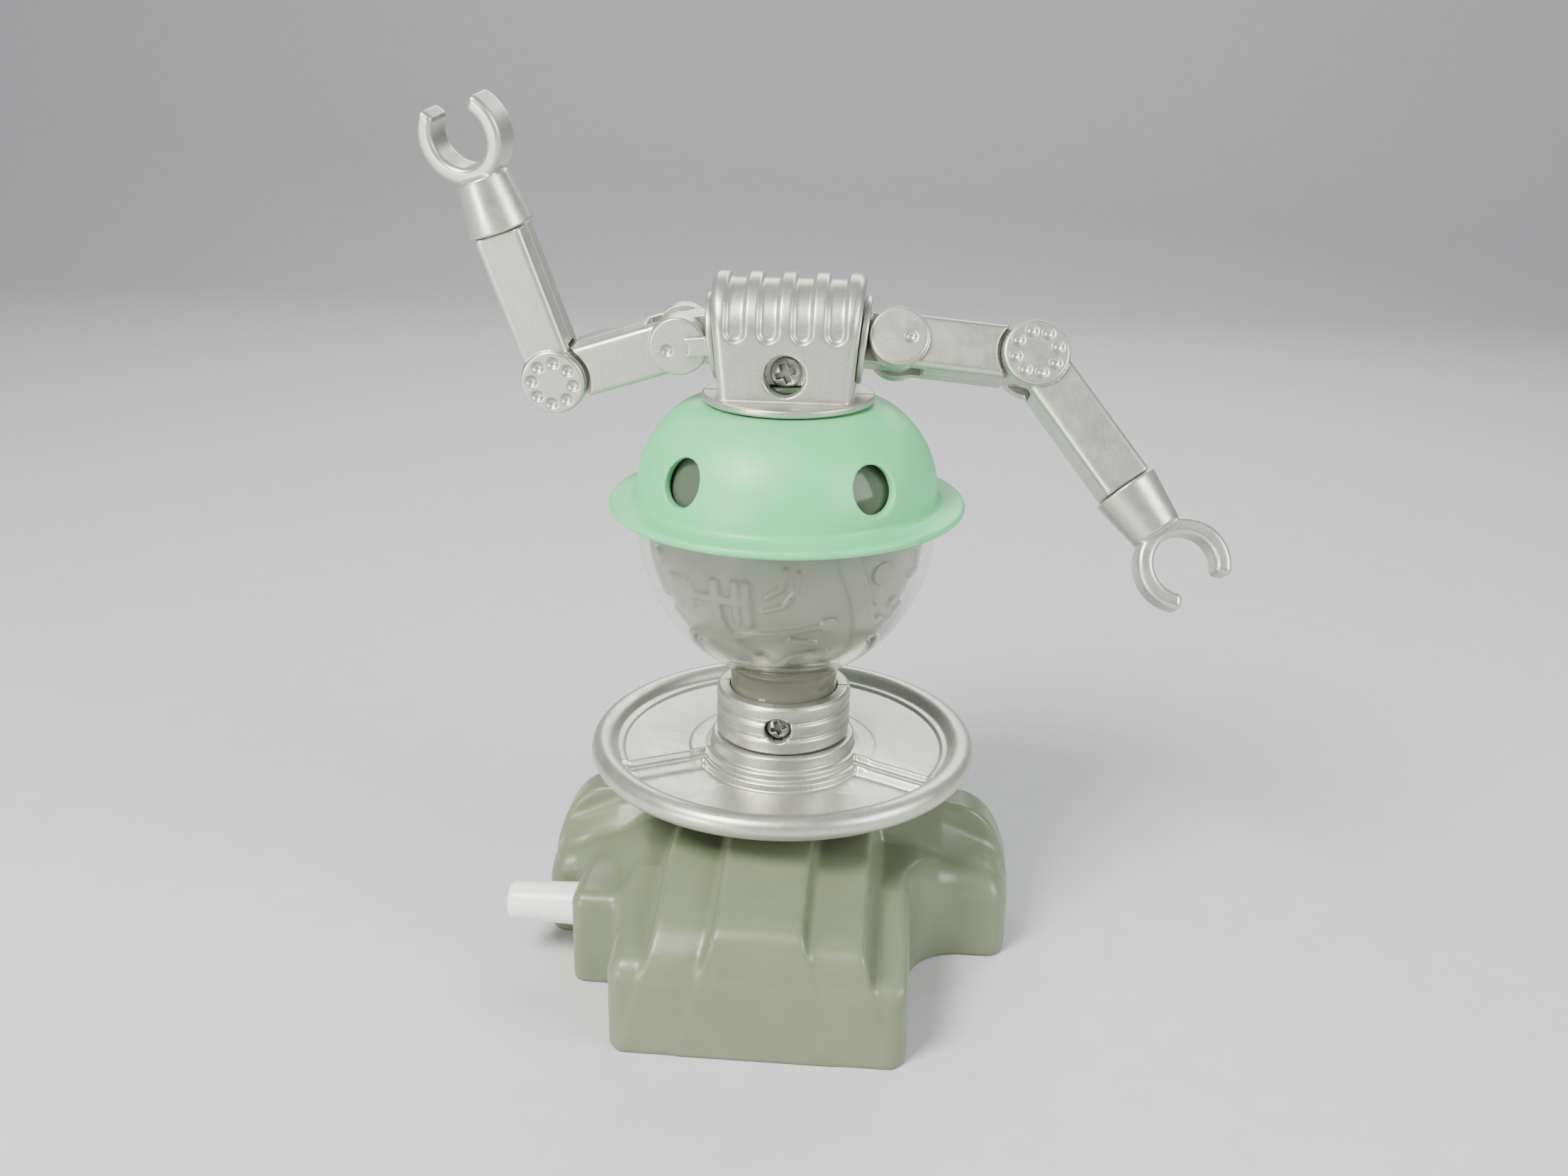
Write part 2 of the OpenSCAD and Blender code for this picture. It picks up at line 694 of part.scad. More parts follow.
module yoke(side) {
    pose = side > 0 ? right_pose : left_pose;
    arm_frame(side) rotate([pose[0], 0, 0]) difference() {
        union() {
            along_x(3.6, 6.1, 7.4);
            along_x(axle_r, 6.1, flange_face);
            along_x(5.7, block_side + 0.1, flange_face);
            translate([flange_face - 0.4, -tongue_half_t, -tongue_r])
                cube([ear_s - flange_face + 0.4, 2 * tongue_half_t, 2 * tongue_r]);
            translate([ear_s, 0, 0]) across_y(tongue_r, -tongue_half_t, tongue_half_t);
            translate([flange_face - 0.4, 4.35, -1.3]) cube([3.4, 0.75, 2.6]);
        }
        translate([ear_s, 0, 0]) across_y(pin_r + run_gap, -far, far);
    }
}

// Draws its children in the frame of the upper arm, whose origin is the ear pivot
module upper_frame(side) {
    pose = side > 0 ? right_pose : left_pose;
    arm_frame(side) rotate([pose[0], 0, 0]) translate([ear_s, 0, 0]) rotate([0, -pose[1], 0]) children();
}

// The frame of the forearm, whose origin is the elbow pivot
module fore_frame(side) {
    pose = side > 0 ? right_pose : left_pose;
    upper_frame(side) translate([upper_len, 0, 0]) rotate([0, -pose[2], 0]) children();
}

// The half of space on the side dir of the parting plane
module half_space(dir) {
    translate([-far, dir < 0 ? -far : 0, -far]) cube([2 * far, far, 2 * far]);
}

// A bar along X with rounded edges
module bar(hy, hz, x0, x1) {
    translate([x0, 0, 0]) rotate([90, 0, 90]) linear_extrude(x1 - x0) rounded(hy, hz, edge_r);
}

// One half of an upper arm: dir is -1 for the half with the pin, 1 for the half with the socket
module upper_half(dir) {
    slot = tongue_half_t + cheek_gap;
    difference() {
        intersection() {
            union() {
                difference() {
                    union() {
                        bar(arm_half_t, upper_half_h, 0, upper_len);
                        across_y(ear_r, -ear_face, ear_face);
                    }
                    translate([-far, -slot, -far]) cube([far + tongue_r + 0.3, 2 * slot, 2 * far]);
                    translate([upper_len, 0, 0]) across_y(elbow_cut_r, -far, far);
                }
                translate([upper_len - elbow_cut_r - 0.6, -tongue_half_t, -tongue_r])
                    cube([elbow_cut_r + 0.6, 2 * tongue_half_t, 2 * tongue_r]);
                translate([upper_len, 0, 0]) across_y(tongue_r, -tongue_half_t, tongue_half_t);
            }
            half_space(dir);
        }
        translate([upper_len, 0, 0]) across_y(pin_r + run_gap, -far, far);
        for (s = [-1, 1]) translate([1.5, 0, 0])
            across_y(dimple_r, s * ear_face - 0.3, s * ear_face + 0.3);
        if (dir > 0) {
            across_y(pin_r + 0.02, 0, 3.1);
            translate([8.4, 0, 0]) across_y(peg_r + 0.02, 0, 2.1);
        }
    }
    if (dir < 0) {
        across_y(pin_r, -slot - 0.1, 3);
        translate([8.4, 0, 0]) across_y(peg_r, -0.1, 2);
    }
}

// One half of a forearm, with the elbow's pin or its socket
module fore_half(dir) {
    slot = tongue_half_t + cheek_gap;
    difference() {
        intersection() {
            difference() {
                union() {
                    difference() {
                        bar(arm_half_t, fore_half_h, 0, fore_end);
                        translate([-far, -slot, -far]) cube([far, 2 * slot, 2 * far]);
                        across_y(elbow_cut_r, -slot, slot);
                    }
                    across_y(cheek_r, slot, arm_half_t);
                    across_y(cheek_r, -arm_half_t, -slot);
                    across_y(cap_r, slot, cap_face);
                    across_y(cap_r, -cap_face, -slot);
                }
                for (i = [0:7], s = [-1, 1]) rotate([0, 45 * i + 22.5, 0]) translate([dimple_ring_r, 0, 0])
                    across_y(dimple_r, s * cap_face - 0.3, s * cap_face + 0.3);
            }
            half_space(dir);
        }
        along_x(journal_r + run_gap, journal_x[0], far);
        along_x(journal_collar_r + 0.1, journal_x[0] - 0.1, journal_x[1] + 0.1);
        if (dir > 0) {
            across_y(pin_r + 0.02, 0, 3.1);
            translate([10, 0, 0]) across_y(peg_r + 0.02, 0, 2.1);
        }
    }
    if (dir < 0) {
        across_y(pin_r, -slot - 0.1, 3);
        translate([10, 0, 0]) across_y(peg_r, -0.1, 2);
    }
}

// A hand: journal, cuff and open claw, in the frame of the forearm
module hand(side) {
    pose = side > 0 ? right_pose : left_pose;
    mid = (claw_in_r + claw_out_r) / 2;
    fore_frame(side) rotate([pose[3], 0, 0]) {
        along_x(journal_r, journal_x[0], cuff_end);
        along_x(journal_collar_r, journal_x[0], journal_x[1]);
        translate([fore_end + 0.1, 0, 0]) rotate([0, 90, 0])
            cylinder(r1 = cuff_r[0], r2 = cuff_r[1], h = cuff_end - fore_end - 0.1);
        translate([fore_len, 0, 0]) rotate([90, 0, 0]) rotate(claw_gap)
            rotate_extrude(angle = 360 - 2 * claw_gap) translate([mid, 0])
            rounded((claw_out_r - claw_in_r) / 2, claw_half_t, 0.7);
    }
}

base_shell();
base_plate();
base_screws();
spindle_bush();
return_spring();
push_button();
rack_carriage();
spindle();
pinion();
retaining_clip();
turntable_disc();
collar_front();
collar_back();
collar_screw();
globe_bowl();
machinery_insert();
globe_liner();
hat();
block_front();
block_back();
block_screw();
color("#b8b8ba") yoke(-1);  // yoke_left
color("#b8b8ba") upper_frame(-1) upper_half(-1);  // upper_arm_front_left
color("#b8b8ba") upper_frame(-1) upper_half(1);  // upper_arm_back_left
color("#b8b8ba") fore_frame(-1) fore_half(-1);  // forearm_front_left
color("#b8b8ba") fore_frame(-1) fore_half(1);  // forearm_back_left
color("#b8b8ba") hand(-1);  // hand_left
color("#b8b8ba") yoke(1);  // yoke_right
color("#b8b8ba") upper_frame(1) upper_half(-1);  // upper_arm_front_right
color("#b8b8ba") upper_frame(1) upper_half(1);  // upper_arm_back_right
color("#b8b8ba") fore_frame(1) fore_half(-1);  // forearm_front_right
color("#b8b8ba") fore_frame(1) fore_half(1);  // forearm_back_right
color("#b8b8ba") hand(1);  // hand_right
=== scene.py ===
import json
import math
import bmesh
import bpy
import numpy as np
from mathutils import Matrix, Vector


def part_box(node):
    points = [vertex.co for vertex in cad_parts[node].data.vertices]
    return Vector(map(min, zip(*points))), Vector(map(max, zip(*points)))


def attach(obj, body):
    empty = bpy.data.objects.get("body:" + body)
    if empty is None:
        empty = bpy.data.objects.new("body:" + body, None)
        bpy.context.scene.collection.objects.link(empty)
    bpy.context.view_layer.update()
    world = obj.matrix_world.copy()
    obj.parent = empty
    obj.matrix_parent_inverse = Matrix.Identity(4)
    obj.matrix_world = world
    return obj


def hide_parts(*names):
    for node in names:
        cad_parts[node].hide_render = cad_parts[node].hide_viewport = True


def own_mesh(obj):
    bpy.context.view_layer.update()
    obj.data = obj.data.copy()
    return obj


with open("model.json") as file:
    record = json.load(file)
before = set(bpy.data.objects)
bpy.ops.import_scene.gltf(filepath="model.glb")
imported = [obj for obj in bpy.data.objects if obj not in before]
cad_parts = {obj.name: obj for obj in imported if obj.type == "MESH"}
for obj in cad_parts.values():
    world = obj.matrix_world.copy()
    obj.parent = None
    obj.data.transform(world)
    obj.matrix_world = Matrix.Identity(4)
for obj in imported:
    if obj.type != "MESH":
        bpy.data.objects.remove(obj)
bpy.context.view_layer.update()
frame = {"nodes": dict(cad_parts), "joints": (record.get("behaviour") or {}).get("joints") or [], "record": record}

MM = 0.001

# ---------------------------------------------------------------- sizes, in millimetres

LEG_X, LEG_Y, WING_X, WING_Y = 19.0, 36.3, 32.4, 10.0  # half sizes of the base
WALL = 1.6  # of the base and of the shoulder block
STEP_SLOPE = 0.25  # rise of the leg strips towards the turntable
BUTTON_Y, BUTTON_Z = -16, 8.6
BOSS_X, BOSS_Y = 13.5, 30  # screw bosses under the base
COLLAR_LOW, COLLAR_HIGH = 29.4, 36.4
COLLAR_SCREW_Z, BLOCK_SCREW_Z = 33.05, 81.3
BOWL_R, BOWL_DEPTH, BOWL_Z, GLASS = 20.0, 21.6, 60.2, 1.2
SKIN_IN, SKIN_OUT = 17.45, 18.2  # the insert's thin bowl
DOME_EDGE, DOME_Z, DOME_R, LINER_R = 7, 64.8, 13.1, 11.5  # the hat's shoulder arc and the liner's
HAT_TOP = 76.9
RIM_Z = 62.5  # where the bowl meets the brim
AXLE_Z, BLOCK_HALF_D = 86.1, 7.2
BLOCK_HALF_W, BLOCK_WIDTH_Z, BLOCK_LEAN = 9.17, 85, math.radians(5.3)
EAR_X = 14.1  # from the block's face to the shoulder pin
UPPER_LEN = 17.4  # from the shoulder pin to the elbow pin
CLAW_X = 32.2  # from the elbow pin to the middle of the claw
PIN_R, TONGUE_BORE = 1.4, 1.45
TONGUE_HALF, CHEEK_IN, CAP_FACE = 1.7, 1.8, 4.2  # half thicknesses across an arm
ELBOW_CUT = 4.85  # clearance round the elbow cap

# ---------------------------------------------------------------- distance fields, in millimetres


def rmax(a, b, r):
    """Intersection whose edge is rounded to radius r."""
    return np.minimum(np.maximum(a, b), -r) + np.hypot(np.maximum(a + r, 0), np.maximum(b + r, 0))


def rmin(a, b, r):
    """Union whose inner corner is filled to radius r."""
    return -rmax(-a, -b, r)


def cut(a, b, r=0.0):
    return rmax(a, -b, r)


def rect(u, v, hu, hv, r=0.0):
    """Rectangle centred on the origin with rounded corners."""
    a, b = np.abs(u) - hu + r, np.abs(v) - hv + r
    return np.hypot(np.maximum(a, 0), np.maximum(b, 0)) + np.minimum(np.maximum(a, b), 0) - r


def span(u, lo, hi):
    return np.abs(u - (lo + hi) / 2) - (hi - lo) / 2


def block(x, y, z, lo, hi, r=0.0):
    a = [np.abs(p - (lo[i] + hi[i]) / 2) - (hi[i] - lo[i]) / 2 + r for i, p in enumerate((x, y, z))]
    out = np.sqrt(sum(np.maximum(p, 0) ** 2 for p in a))
    return out + np.minimum(np.maximum(np.maximum(a[0], a[1]), a[2]), 0) - r


def smoothstep(t):
    t = np.clip(t, 0, 1)
    return t * t * (3 - 2 * t)


def polygonise(field, lo, hi, step):
    """Quads on the zero surface of a field, one vertex to a cell, then moved onto the surface."""
    lo = np.array(lo, float)
    count = np.ceil((np.array(hi, float) - lo) / step).astype(int) + 1
    axes = [lo[i] + step * np.arange(count[i]) for i in range(3)]
    value = np.empty(count, np.float32)
    for i in range(0, count[0], 12):
        value[i:i + 12] = field(*np.meshgrid(axes[0][i:i + 12], axes[1], axes[2], indexing="ij"))
    inside = value < 0
    corners = [np.array(c) for c in np.ndindex(2, 2, 2)]
    size = count - 1
    total = np.zeros(size, np.int8)
    for c in corners:
        total += inside[c[0]:c[0] + size[0], c[1]:c[1] + size[1], c[2]:c[2] + size[2]]
    active = (total > 0) & (total < 8)
    cells = np.argwhere(active)
    index = np.full(size, -1, np.int64)
    index[active] = np.arange(len(cells))
    place, hits = np.zeros((len(cells), 3)), np.zeros(len(cells))
    for a in corners:
        for b in corners:
            if (b - a).sum() == 1 and (b - a).min() == 0:
                fa, fb = value[tuple((cells + a).T)], value[tuple((cells + b).T)]
                cross = (fa < 0) != (fb < 0)
                t = fa[cross] / (fa[cross] - fb[cross])
                place[cross] += a + t[:, None] * (b - a)
                hits[cross] += 1
    points = lo + step * (cells + place / hits[:, None])
    for _ in range(3):
        here = field(*points.T)
        steps = np.eye(3) * step * 0.1
        slope = np.stack([field(*(points + d).T) - field(*(points - d).T) for d in steps], 1)
        slope /= step * 0.2
        move = here[:, None] * slope / np.maximum((slope ** 2).sum(1), 0.25)[:, None]
        points -= np.clip(move, -step * 0.5, step * 0.5)
    faces = []
    for d in range(3):
        u, w = (d + 1) % 3, (d + 2) % 3
        first, second = [slice(None)] * 3, [slice(None)] * 3
        first[d], second[d] = slice(0, -1), slice(1, None)
        s0 = inside[tuple(first)]
        edge = np.argwhere(s0 != inside[tuple(second)])
        edge = edge[(edge[:, u] > 0) & (edge[:, w] > 0) & (edge[:, u] < size[u]) & (edge[:, w] < size[w])]
        eu, ew = np.eye(3, dtype=int)[u], np.eye(3, dtype=int)[w]
        quad = np.stack([index[tuple((edge - a).T)] for a in (eu + ew, ew, 0 * eu, eu)], 1)
        out = s0[tuple(edge.T)]
        faces.append(np.where(out[:, None], quad, quad[:, ::-1]))
    return points, np.concatenate(faces)


def mesh_object(name, points, faces, place=None):
    """A smooth-shaded object from points in millimetres, put in place by a matrix in millimetres."""
    points = np.asarray(points, float)
    if place is not None:
        points = points @ place[:3, :3].T + place[:3, 3]
    mesh = bpy.data.meshes.new(name)
    mesh.from_pydata((points * MM).tolist(), [], [list(map(int, f)) for f in faces])
    mesh.validate()
    mesh.polygons.foreach_set("use_smooth", [True] * len(mesh.polygons))
    mesh.update()
    obj = bpy.data.objects.new(name, mesh)
    bpy.context.collection.objects.link(obj)
    return obj


def thin_out(obj, ratio):
    """Merges faces where the surface is flat."""
    mod = obj.modifiers.new("thin", "DECIMATE")
    mod.ratio = ratio
    bake(obj)
    obj.data.polygons.foreach_set("use_smooth", [True] * len(obj.data.polygons))


def bake(obj):
    """Applies an object's modifiers."""
    graph = bpy.context.evaluated_depsgraph_get()
    mesh = bpy.data.meshes.new_from_object(obj.evaluated_get(graph))
    old = obj.data
    obj.modifiers.clear()
    obj.data = mesh
    bpy.data.meshes.remove(old)
    mesh.name = obj.name


def solid(name, field, lo, hi, step, place=None, ratio=1.0):
    """An object made from a field inside a box, on a grid of the given step."""
    points, faces = polygonise(field, lo, hi, step)
    obj = mesh_object(name, points, faces, place)
    if ratio < 1:
        thin_out(obj, ratio)
    return obj


def lathe(name, profile, count=160, place=None, wobble=None):
    """A closed outline of (radius, height) turned about Z. wobble(radius, height, angle) moves the radius."""
    profile = np.array(profile, float)
    n = len(profile)
    angle = 2 * np.pi * np.arange(count) / count
    radius = np.repeat(profile[None, :, 0], count, 0)
    height = np.repeat(profile[None, :, 1], count, 0)
    if wobble is not None:
        radius = wobble(radius, height, angle[:, None])
    across, along = np.cos(angle)[:, None], np.sin(angle)[:, None]
    points = np.stack([radius * across, radius * along, height], 2).reshape(-1, 3)
    faces = []
    for k in range(count):
        m = (k + 1) % count
        for i in range(n):
            j = (i + 1) % n
            if profile[i, 0] < 1e-9 and profile[j, 0] < 1e-9:
                continue
            faces.append([k * n + i, m * n + i, m * n + j, k * n + j])
    obj = mesh_object(name, points, faces, place)
    work = bmesh.new()
    work.from_mesh(obj.data)
    bmesh.ops.remove_doubles(work, verts=work.verts, dist=1e-7)
    bmesh.ops.dissolve_degenerate(work, edges=work.edges, dist=1e-8)
    bmesh.ops.recalc_face_normals(work, faces=work.faces)
    work.to_mesh(obj.data)
    work.free()
    return obj


def round_profile(corners, radii, steps=6):
    """An outline whose corners are rounded, each to its own radius."""
    out = []
    n = len(corners)
    for i in range(n):
        p, a, b = (np.array(corners[k % n], float) for k in (i, i - 1, i + 1))
        r = radii[i] if isinstance(radii, (list, tuple)) else radii
        u, v = (a - p) / np.linalg.norm(a - p), (b - p) / np.linalg.norm(b - p)
        half = math.acos(np.clip(u @ v, -1, 1)) / 2
        if r <= 0 or abs(half - math.pi / 2) < 0.02:
            out.append(p)
            continue
        back = min(r / math.tan(half), 0.45 * np.linalg.norm(a - p), 0.45 * np.linalg.norm(b - p))
        r = back * math.tan(half)
        centre = p + (u + v) / np.linalg.norm(u + v) * r / math.sin(half)
        s, e = p + u * back - centre, p + v * back - centre
        turn = math.atan2(s[0] * e[1] - s[1] * e[0], s @ e)
        for k in range(steps + 1):
            c, w = math.cos(turn * k / steps), math.sin(turn * k / steps)
            out.append(centre + [s[0] * c - s[1] * w, s[0] * w + s[1] * c])
    return out


# ---------------------------------------------------------------- materials


def material(name, colour, rough, metal=0.0, **more):
    """Moulded plastic, paint or metal: patchy tone and roughness, grain and, if asked, dust and painted shade
    darkening the hollows.
    """
    m = bpy.data.materials.new(name)
    m.use_nodes = True
    nodes, links = m.node_tree.nodes, m.node_tree.links
    shader = nodes["Principled BSDF"]
    shader.inputs["Metallic"].default_value = metal
    for key, value in more.get("shader", {}).items():
        shader.inputs[key].default_value = value
    where = nodes.new("ShaderNodeTexCoord")

    def noise(scale, detail, rough_=0.55):
        n = nodes.new("ShaderNodeTexNoise")
        n.inputs["Scale"].default_value = scale
        n.inputs["Detail"].default_value = detail
        n.inputs["Roughness"].default_value = rough_
        links.new(where.outputs["Object"], n.inputs["Vector"])
        return n

    def spread(source, low, high, to_low, to_high):
        r = nodes.new("ShaderNodeMapRange")
        for key, value in zip(("From Min", "From Max", "To Min", "To Max"), (low, high, to_low, to_high)):
            r.inputs[key].default_value = value
        links.new(source, r.inputs["Value"])
        return r.outputs["Result"]

    def mix(factor, a, b):
        n = nodes.new("ShaderNodeMix")
        n.data_type = "RGBA"
        links.new(factor, n.inputs[0])
        for socket, value in ((n.inputs[6], a), (n.inputs[7], b)):
            if isinstance(value, tuple):
                socket.default_value = (*value, 1)
            else:
                links.new(value, socket)
        return n.outputs[2]

    tone = more.get("tone", 0.06)
    patch = noise(160, 4)
    shade = tuple(c * (1 - tone) for c in colour)
    light = tuple(min(1, c * (1 + tone)) for c in colour)
    result = mix(spread(patch.outputs["Fac"], 0.3, 0.7, 0, 1), shade, light)
    grain = noise(more.get("grain", 5200), 2, 0.7)
    if more.get("flake", 0):
        bright = tuple(min(1, c * (1 + more["flake"])) for c in colour)
        result = mix(spread(grain.outputs["Fac"], 0.42, 0.6, 0, 1), result, bright)
    if more.get("dust", 0):
        speck = noise(900, 3, 0.8)
        result = mix(spread(speck.outputs["Fac"], 0.68, 0.76, 0, more["dust"]), result, more["dust_colour"])
    # Painted shade: the colour is darkened where ambient occlusion finds nearby surfaces, in creases, recesses and
    # between parts.
    if more.get("grime", 0):
        near = nodes.new("ShaderNodeAmbientOcclusion")
        near.samples = 4
        near.only_local = more.get("grime_local", False)
        near.inputs["Distance"].default_value = more.get("grime_reach", 0.0016)
        result = mix(spread(near.outputs["AO"], 0.35, 0.85, more["grime"], 0), result, more["grime_colour"])
    links.new(result, shader.inputs["Base Color"])
    worn = spread(noise(420, 5).outputs["Fac"], 0.3, 0.7, rough * 0.86, rough * 1.16)
    links.new(worn, shader.inputs["Roughness"])
    bump = nodes.new("ShaderNodeBump")
    bump.inputs["Strength"].default_value = more.get("bump", 0.06)
    bump.inputs["Distance"].default_value = 0.0001
    links.new(grain.outputs["Fac"], bump.inputs["Height"])
    links.new(bump.outputs["Normal"], shader.inputs["Normal"])
    return m


# Painted shade: faint darkening in the arms' parting lines and other creases.
SILVER = material("silver_paint", (0.51, 0.513, 0.455), 0.37, 0.8, tone=0.04, flake=0.14, grain=3800,
                  bump=0.07, grime=0.32, grime_reach=0.0009, grime_colour=(0.2, 0.195, 0.175))
# Painted shade: darker green in the hat's creases and hollows, on top of its random dust specks.
MINT = material("mint_plastic", (0.125, 0.65, 0.25), 0.4, tone=0.06, dust=0.35, dust_colour=(0.3, 0.32, 0.2),
                grime=0.4, grime_colour=(0.16, 0.26, 0.14))
# Painted shade: darker grey-green in the base's creases and recesses, on top of its random dust specks.
GREY = material("base_plastic", (0.168, 0.2, 0.112), 0.33, tone=0.06, dust=0.18,
                dust_colour=(0.26, 0.27, 0.2), grime=0.3, grime_colour=(0.085, 0.095, 0.065))
WHITE = material("white_plastic", (0.93, 0.93, 0.89), 0.28, tone=0.03,
                 shader={"Subsurface Weight": 0.2, "Subsurface Radius": (0.003, 0.003, 0.003),
                         "Subsurface Scale": 0.5})
# Painted shade: near black in the screws' cross recesses and under their heads.
STEEL = material("zinc_steel", (0.36, 0.36, 0.34), 0.3, 0.9, tone=0.12,
                 grime=0.9, grime_reach=0.0006, grime_colour=(0.02, 0.02, 0.018))
CLEAR = material("clear_plastic", (0.93, 0.94, 0.90), 0.035, tone=0.01, bump=0.02, grain=700,
                 shader={"Transmission Weight": 1.0, "IOR": 1.33})
# Painted shade: dark olive in the insert's crevices draws the shaded lines round its relief.
CLOUD = material("clear_insert", (0.7, 0.72, 0.61), 0.1, tone=0.03, bump=0.02, grain=900,
                 grime=1.0, grime_reach=0.0022, grime_local=True, grime_colour=(0.06, 0.075, 0.03),
                 shader={"Transmission Weight": 0.5, "IOR": 1.5})
FROST = material("clear_liner", (0.2, 0.27, 0.18), 0.12, tone=0.05, bump=0.05, grain=900,
                 shader={"Transmission Weight": 0.6, "IOR": 1.3})


def cloud_below(mat, low, high, colour, clear):
    """Makes a clear material milky under a height, given in metres."""
    nodes, links = mat.node_tree.nodes, mat.node_tree.links
    shader = nodes["Principled BSDF"]
    where, split = nodes.new("ShaderNodeTexCoord"), nodes.new("ShaderNodeSeparateXYZ")
    links.new(where.outputs["Object"], split.inputs[0])
    ramps = []
    for start in (0.0, clear):
        ramp = nodes.new("ShaderNodeMapRange")
        for key, value in zip(("From Min", "From Max", "To Min", "To Max"), (low, high, start, 1.0)):
            ramp.inputs[key].default_value = value
        links.new(split.outputs["Z"], ramp.inputs["Value"])
        ramps.append(ramp.outputs["Result"])
    blend = nodes.new("ShaderNodeMix")
    blend.data_type = "RGBA"
    links.new(ramps[0], blend.inputs[0])
    blend.inputs[6].default_value = (*colour, 1)
    links.new(shader.inputs["Base Color"].links[0].from_socket, blend.inputs[7])
    links.new(blend.outputs[2], shader.inputs["Base Color"])
    links.new(ramps[1], shader.inputs["Transmission Weight"])


cloud_below(CLEAR, 0.0395, 0.0425, (0.27, 0.28, 0.2), 0.5)
SLOT_MATERIAL = {
    "silver_plastic": SILVER, "mint_plastic": MINT, "base_plastic": GREY,
    "white_plastic": WHITE, "steel": STEEL, "clear_plastic": CLEAR,
}


def dress(obj, mat, slot, body, *nodes):
    """Gives a piece its finish and its body, and hides the parts of the frame it stands for."""
    obj.data.materials.clear()
    obj.data.materials.append(mat)
    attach(obj, body)
    if nodes:
        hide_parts(*nodes)
    return obj


def place_matrix(origin, x, y):
    """A frame in millimetres from its origin and its X and Y directions."""
    x = np.array(x, float)
    x /= np.linalg.norm(x)
    y = np.array(y, float)
    y -= x * (x @ y)
    y /= np.linalg.norm(y)
    out = np.eye(4)
    out[:3, 0], out[:3, 1], out[:3, 2], out[:3, 3] = x, y, np.cross(x, y), np.array(origin, float)
    return out


JOINTS = {j["name"]: j for j in frame["joints"]}


def pivot(name):
    """A joint's place, in millimetres."""
    return np.array(JOINTS[name]["pos_m"], float) / MM


def axis(name):
    return np.array(JOINTS[name]["axis"], float)


# ---------------------------------------------------------------- base


def leg_top(y, end):
    """Height of a leg strip that is `end` high at the leg's front."""
    return end + STEP_SLOPE * np.clip(34.1 - np.abs(y), 0, 15.1)


def wing_foot(ax):
    """Height of the line where a wing's sloping face stands on its outer terrace."""
    return 15.8 - 0.26 * (np.clip(ax, 12, 40) - 15.7)


def base_outer(x, y, z):
    ay, ax = np.abs(y), np.abs(x)
    leg2 = rect(x, y, LEG_X, LEG_Y, 2.4)
    wing2 = rect(x, y, WING_X, WING_Y, 2.6)
    foot = rmin(leg2, wing2, 7.5)
    # Outer terrace: the edge strips of the legs run round onto the wings
    leg_h = leg_top(y, np.where(x > 0, 11.7, 13.3))
    h1 = leg_h + (wing_foot(ax) - leg_h) * smoothstep((ax - 17) / 6.5)
    edge = np.where(x > 0, 2.3, 3.0)
    d = rmax(foot, (z - h1) * 0.96, edge + (3.6 - edge) * smoothstep((ax - 19.5) / 3.5))
    # Leg strips, with sloping sides and soft front ends
    for lo, hi, end in ((-13.1, 13.2, 16.4), (-5.3, 5.6, 18.6)):
        top = (z - leg_top(y, end)) * 0.96
        soft = np.where(x < -5.3, 6.0, 3.0) if end < 17 else 3.4
        side = (span(x, lo, hi) + 0.28 * top) * 0.96
        d = rmin(d, rmax(rmax(ay - LEG_Y, top, soft), side, 0.6), 0.9)
    # Wings: a face that slopes up to a crest with a deep round end
    steep = np.clip(1.1 - 0.08 * (ax - 23), 0.4, 1.1)
    top2 = wing_foot(ax) + 0.55 + steep * np.clip(6.4 - ay, 0, 3.5)
    slab = rmax(rmax((z - top2) * 0.7, ax - WING_X, 3.4), ay - 6.5, 0.6)
    d = rmin(d, slab, 0.8)
    crest_top = 19.8 + 0.16 * np.clip(24.9 - ax, 0, 12.9)
    crest = rmax(rmax((z - crest_top) * 0.664, ax - WING_X, 7.5), ay - 3.0, 0.8)
    d = rmin(d, crest, 0.9)
    return d


def base_field(x, y, z):
    d = base_outer(x, y, z)
    roof = 13.5 + (wing_foot(np.abs(x)) - 13.5) * smoothstep((y + 17) / 9)
    house = rmax(rect(x + 20.5, y + 14, 6.0, 8.0, 1.8), (z - roof) * 0.97, 1.9)
    outer = rmin(d, house, 2.2)
    hollow = np.minimum(d + WALL, block(x, y, z, (-24.9, -20.2, -5), (-13, -10.3, 12.3)))
    hub = np.maximum(np.hypot(x, y) - 6.2, 13.5 - z)
    boss = np.hypot(np.abs(x) - BOSS_X, np.abs(y) - BOSS_Y)
    hub = np.minimum(hub, np.maximum(boss - 2.4, 1.5 - z))
    hollow = np.maximum(hollow, -hub)
    d = np.maximum(rmax(outer, -z, 0.5), -hollow)
    d = np.maximum(d, 4.2 - np.hypot(x, y))
    d = np.maximum(d, -np.maximum(boss - 0.8, z - 9.5))
    return cut(d, np.maximum(np.hypot(y - BUTTON_Y, z - BUTTON_Z) - 3.25, x + 22), 0.3)


shell = solid("base_shell_moulding", base_field, (-33, -37, -0.6), (33, 37, 24), 0.36, ratio=0.55)
dress(shell, GREY, "base_plastic", "base", "base_shell")

button = lathe("push_button_moulding", round_profile(
    [(0, 17.2), (2.2, 17.2), (2.2, 23.6), (3.5, 23.6), (3.5, 24.8), (3.0, 24.8), (2.55, 36.2), (0, 36.2)],
    [0, 0.1, 0.2, 0.2, 0.2, 0.1, 0.8, 0]), 96, place_matrix((0, BUTTON_Y, BUTTON_Z), (0, 1, 0), (0, 0, -1)))
dress(button, WHITE, "white_plastic", "button", "push_button")

# ---------------------------------------------------------------- turntable


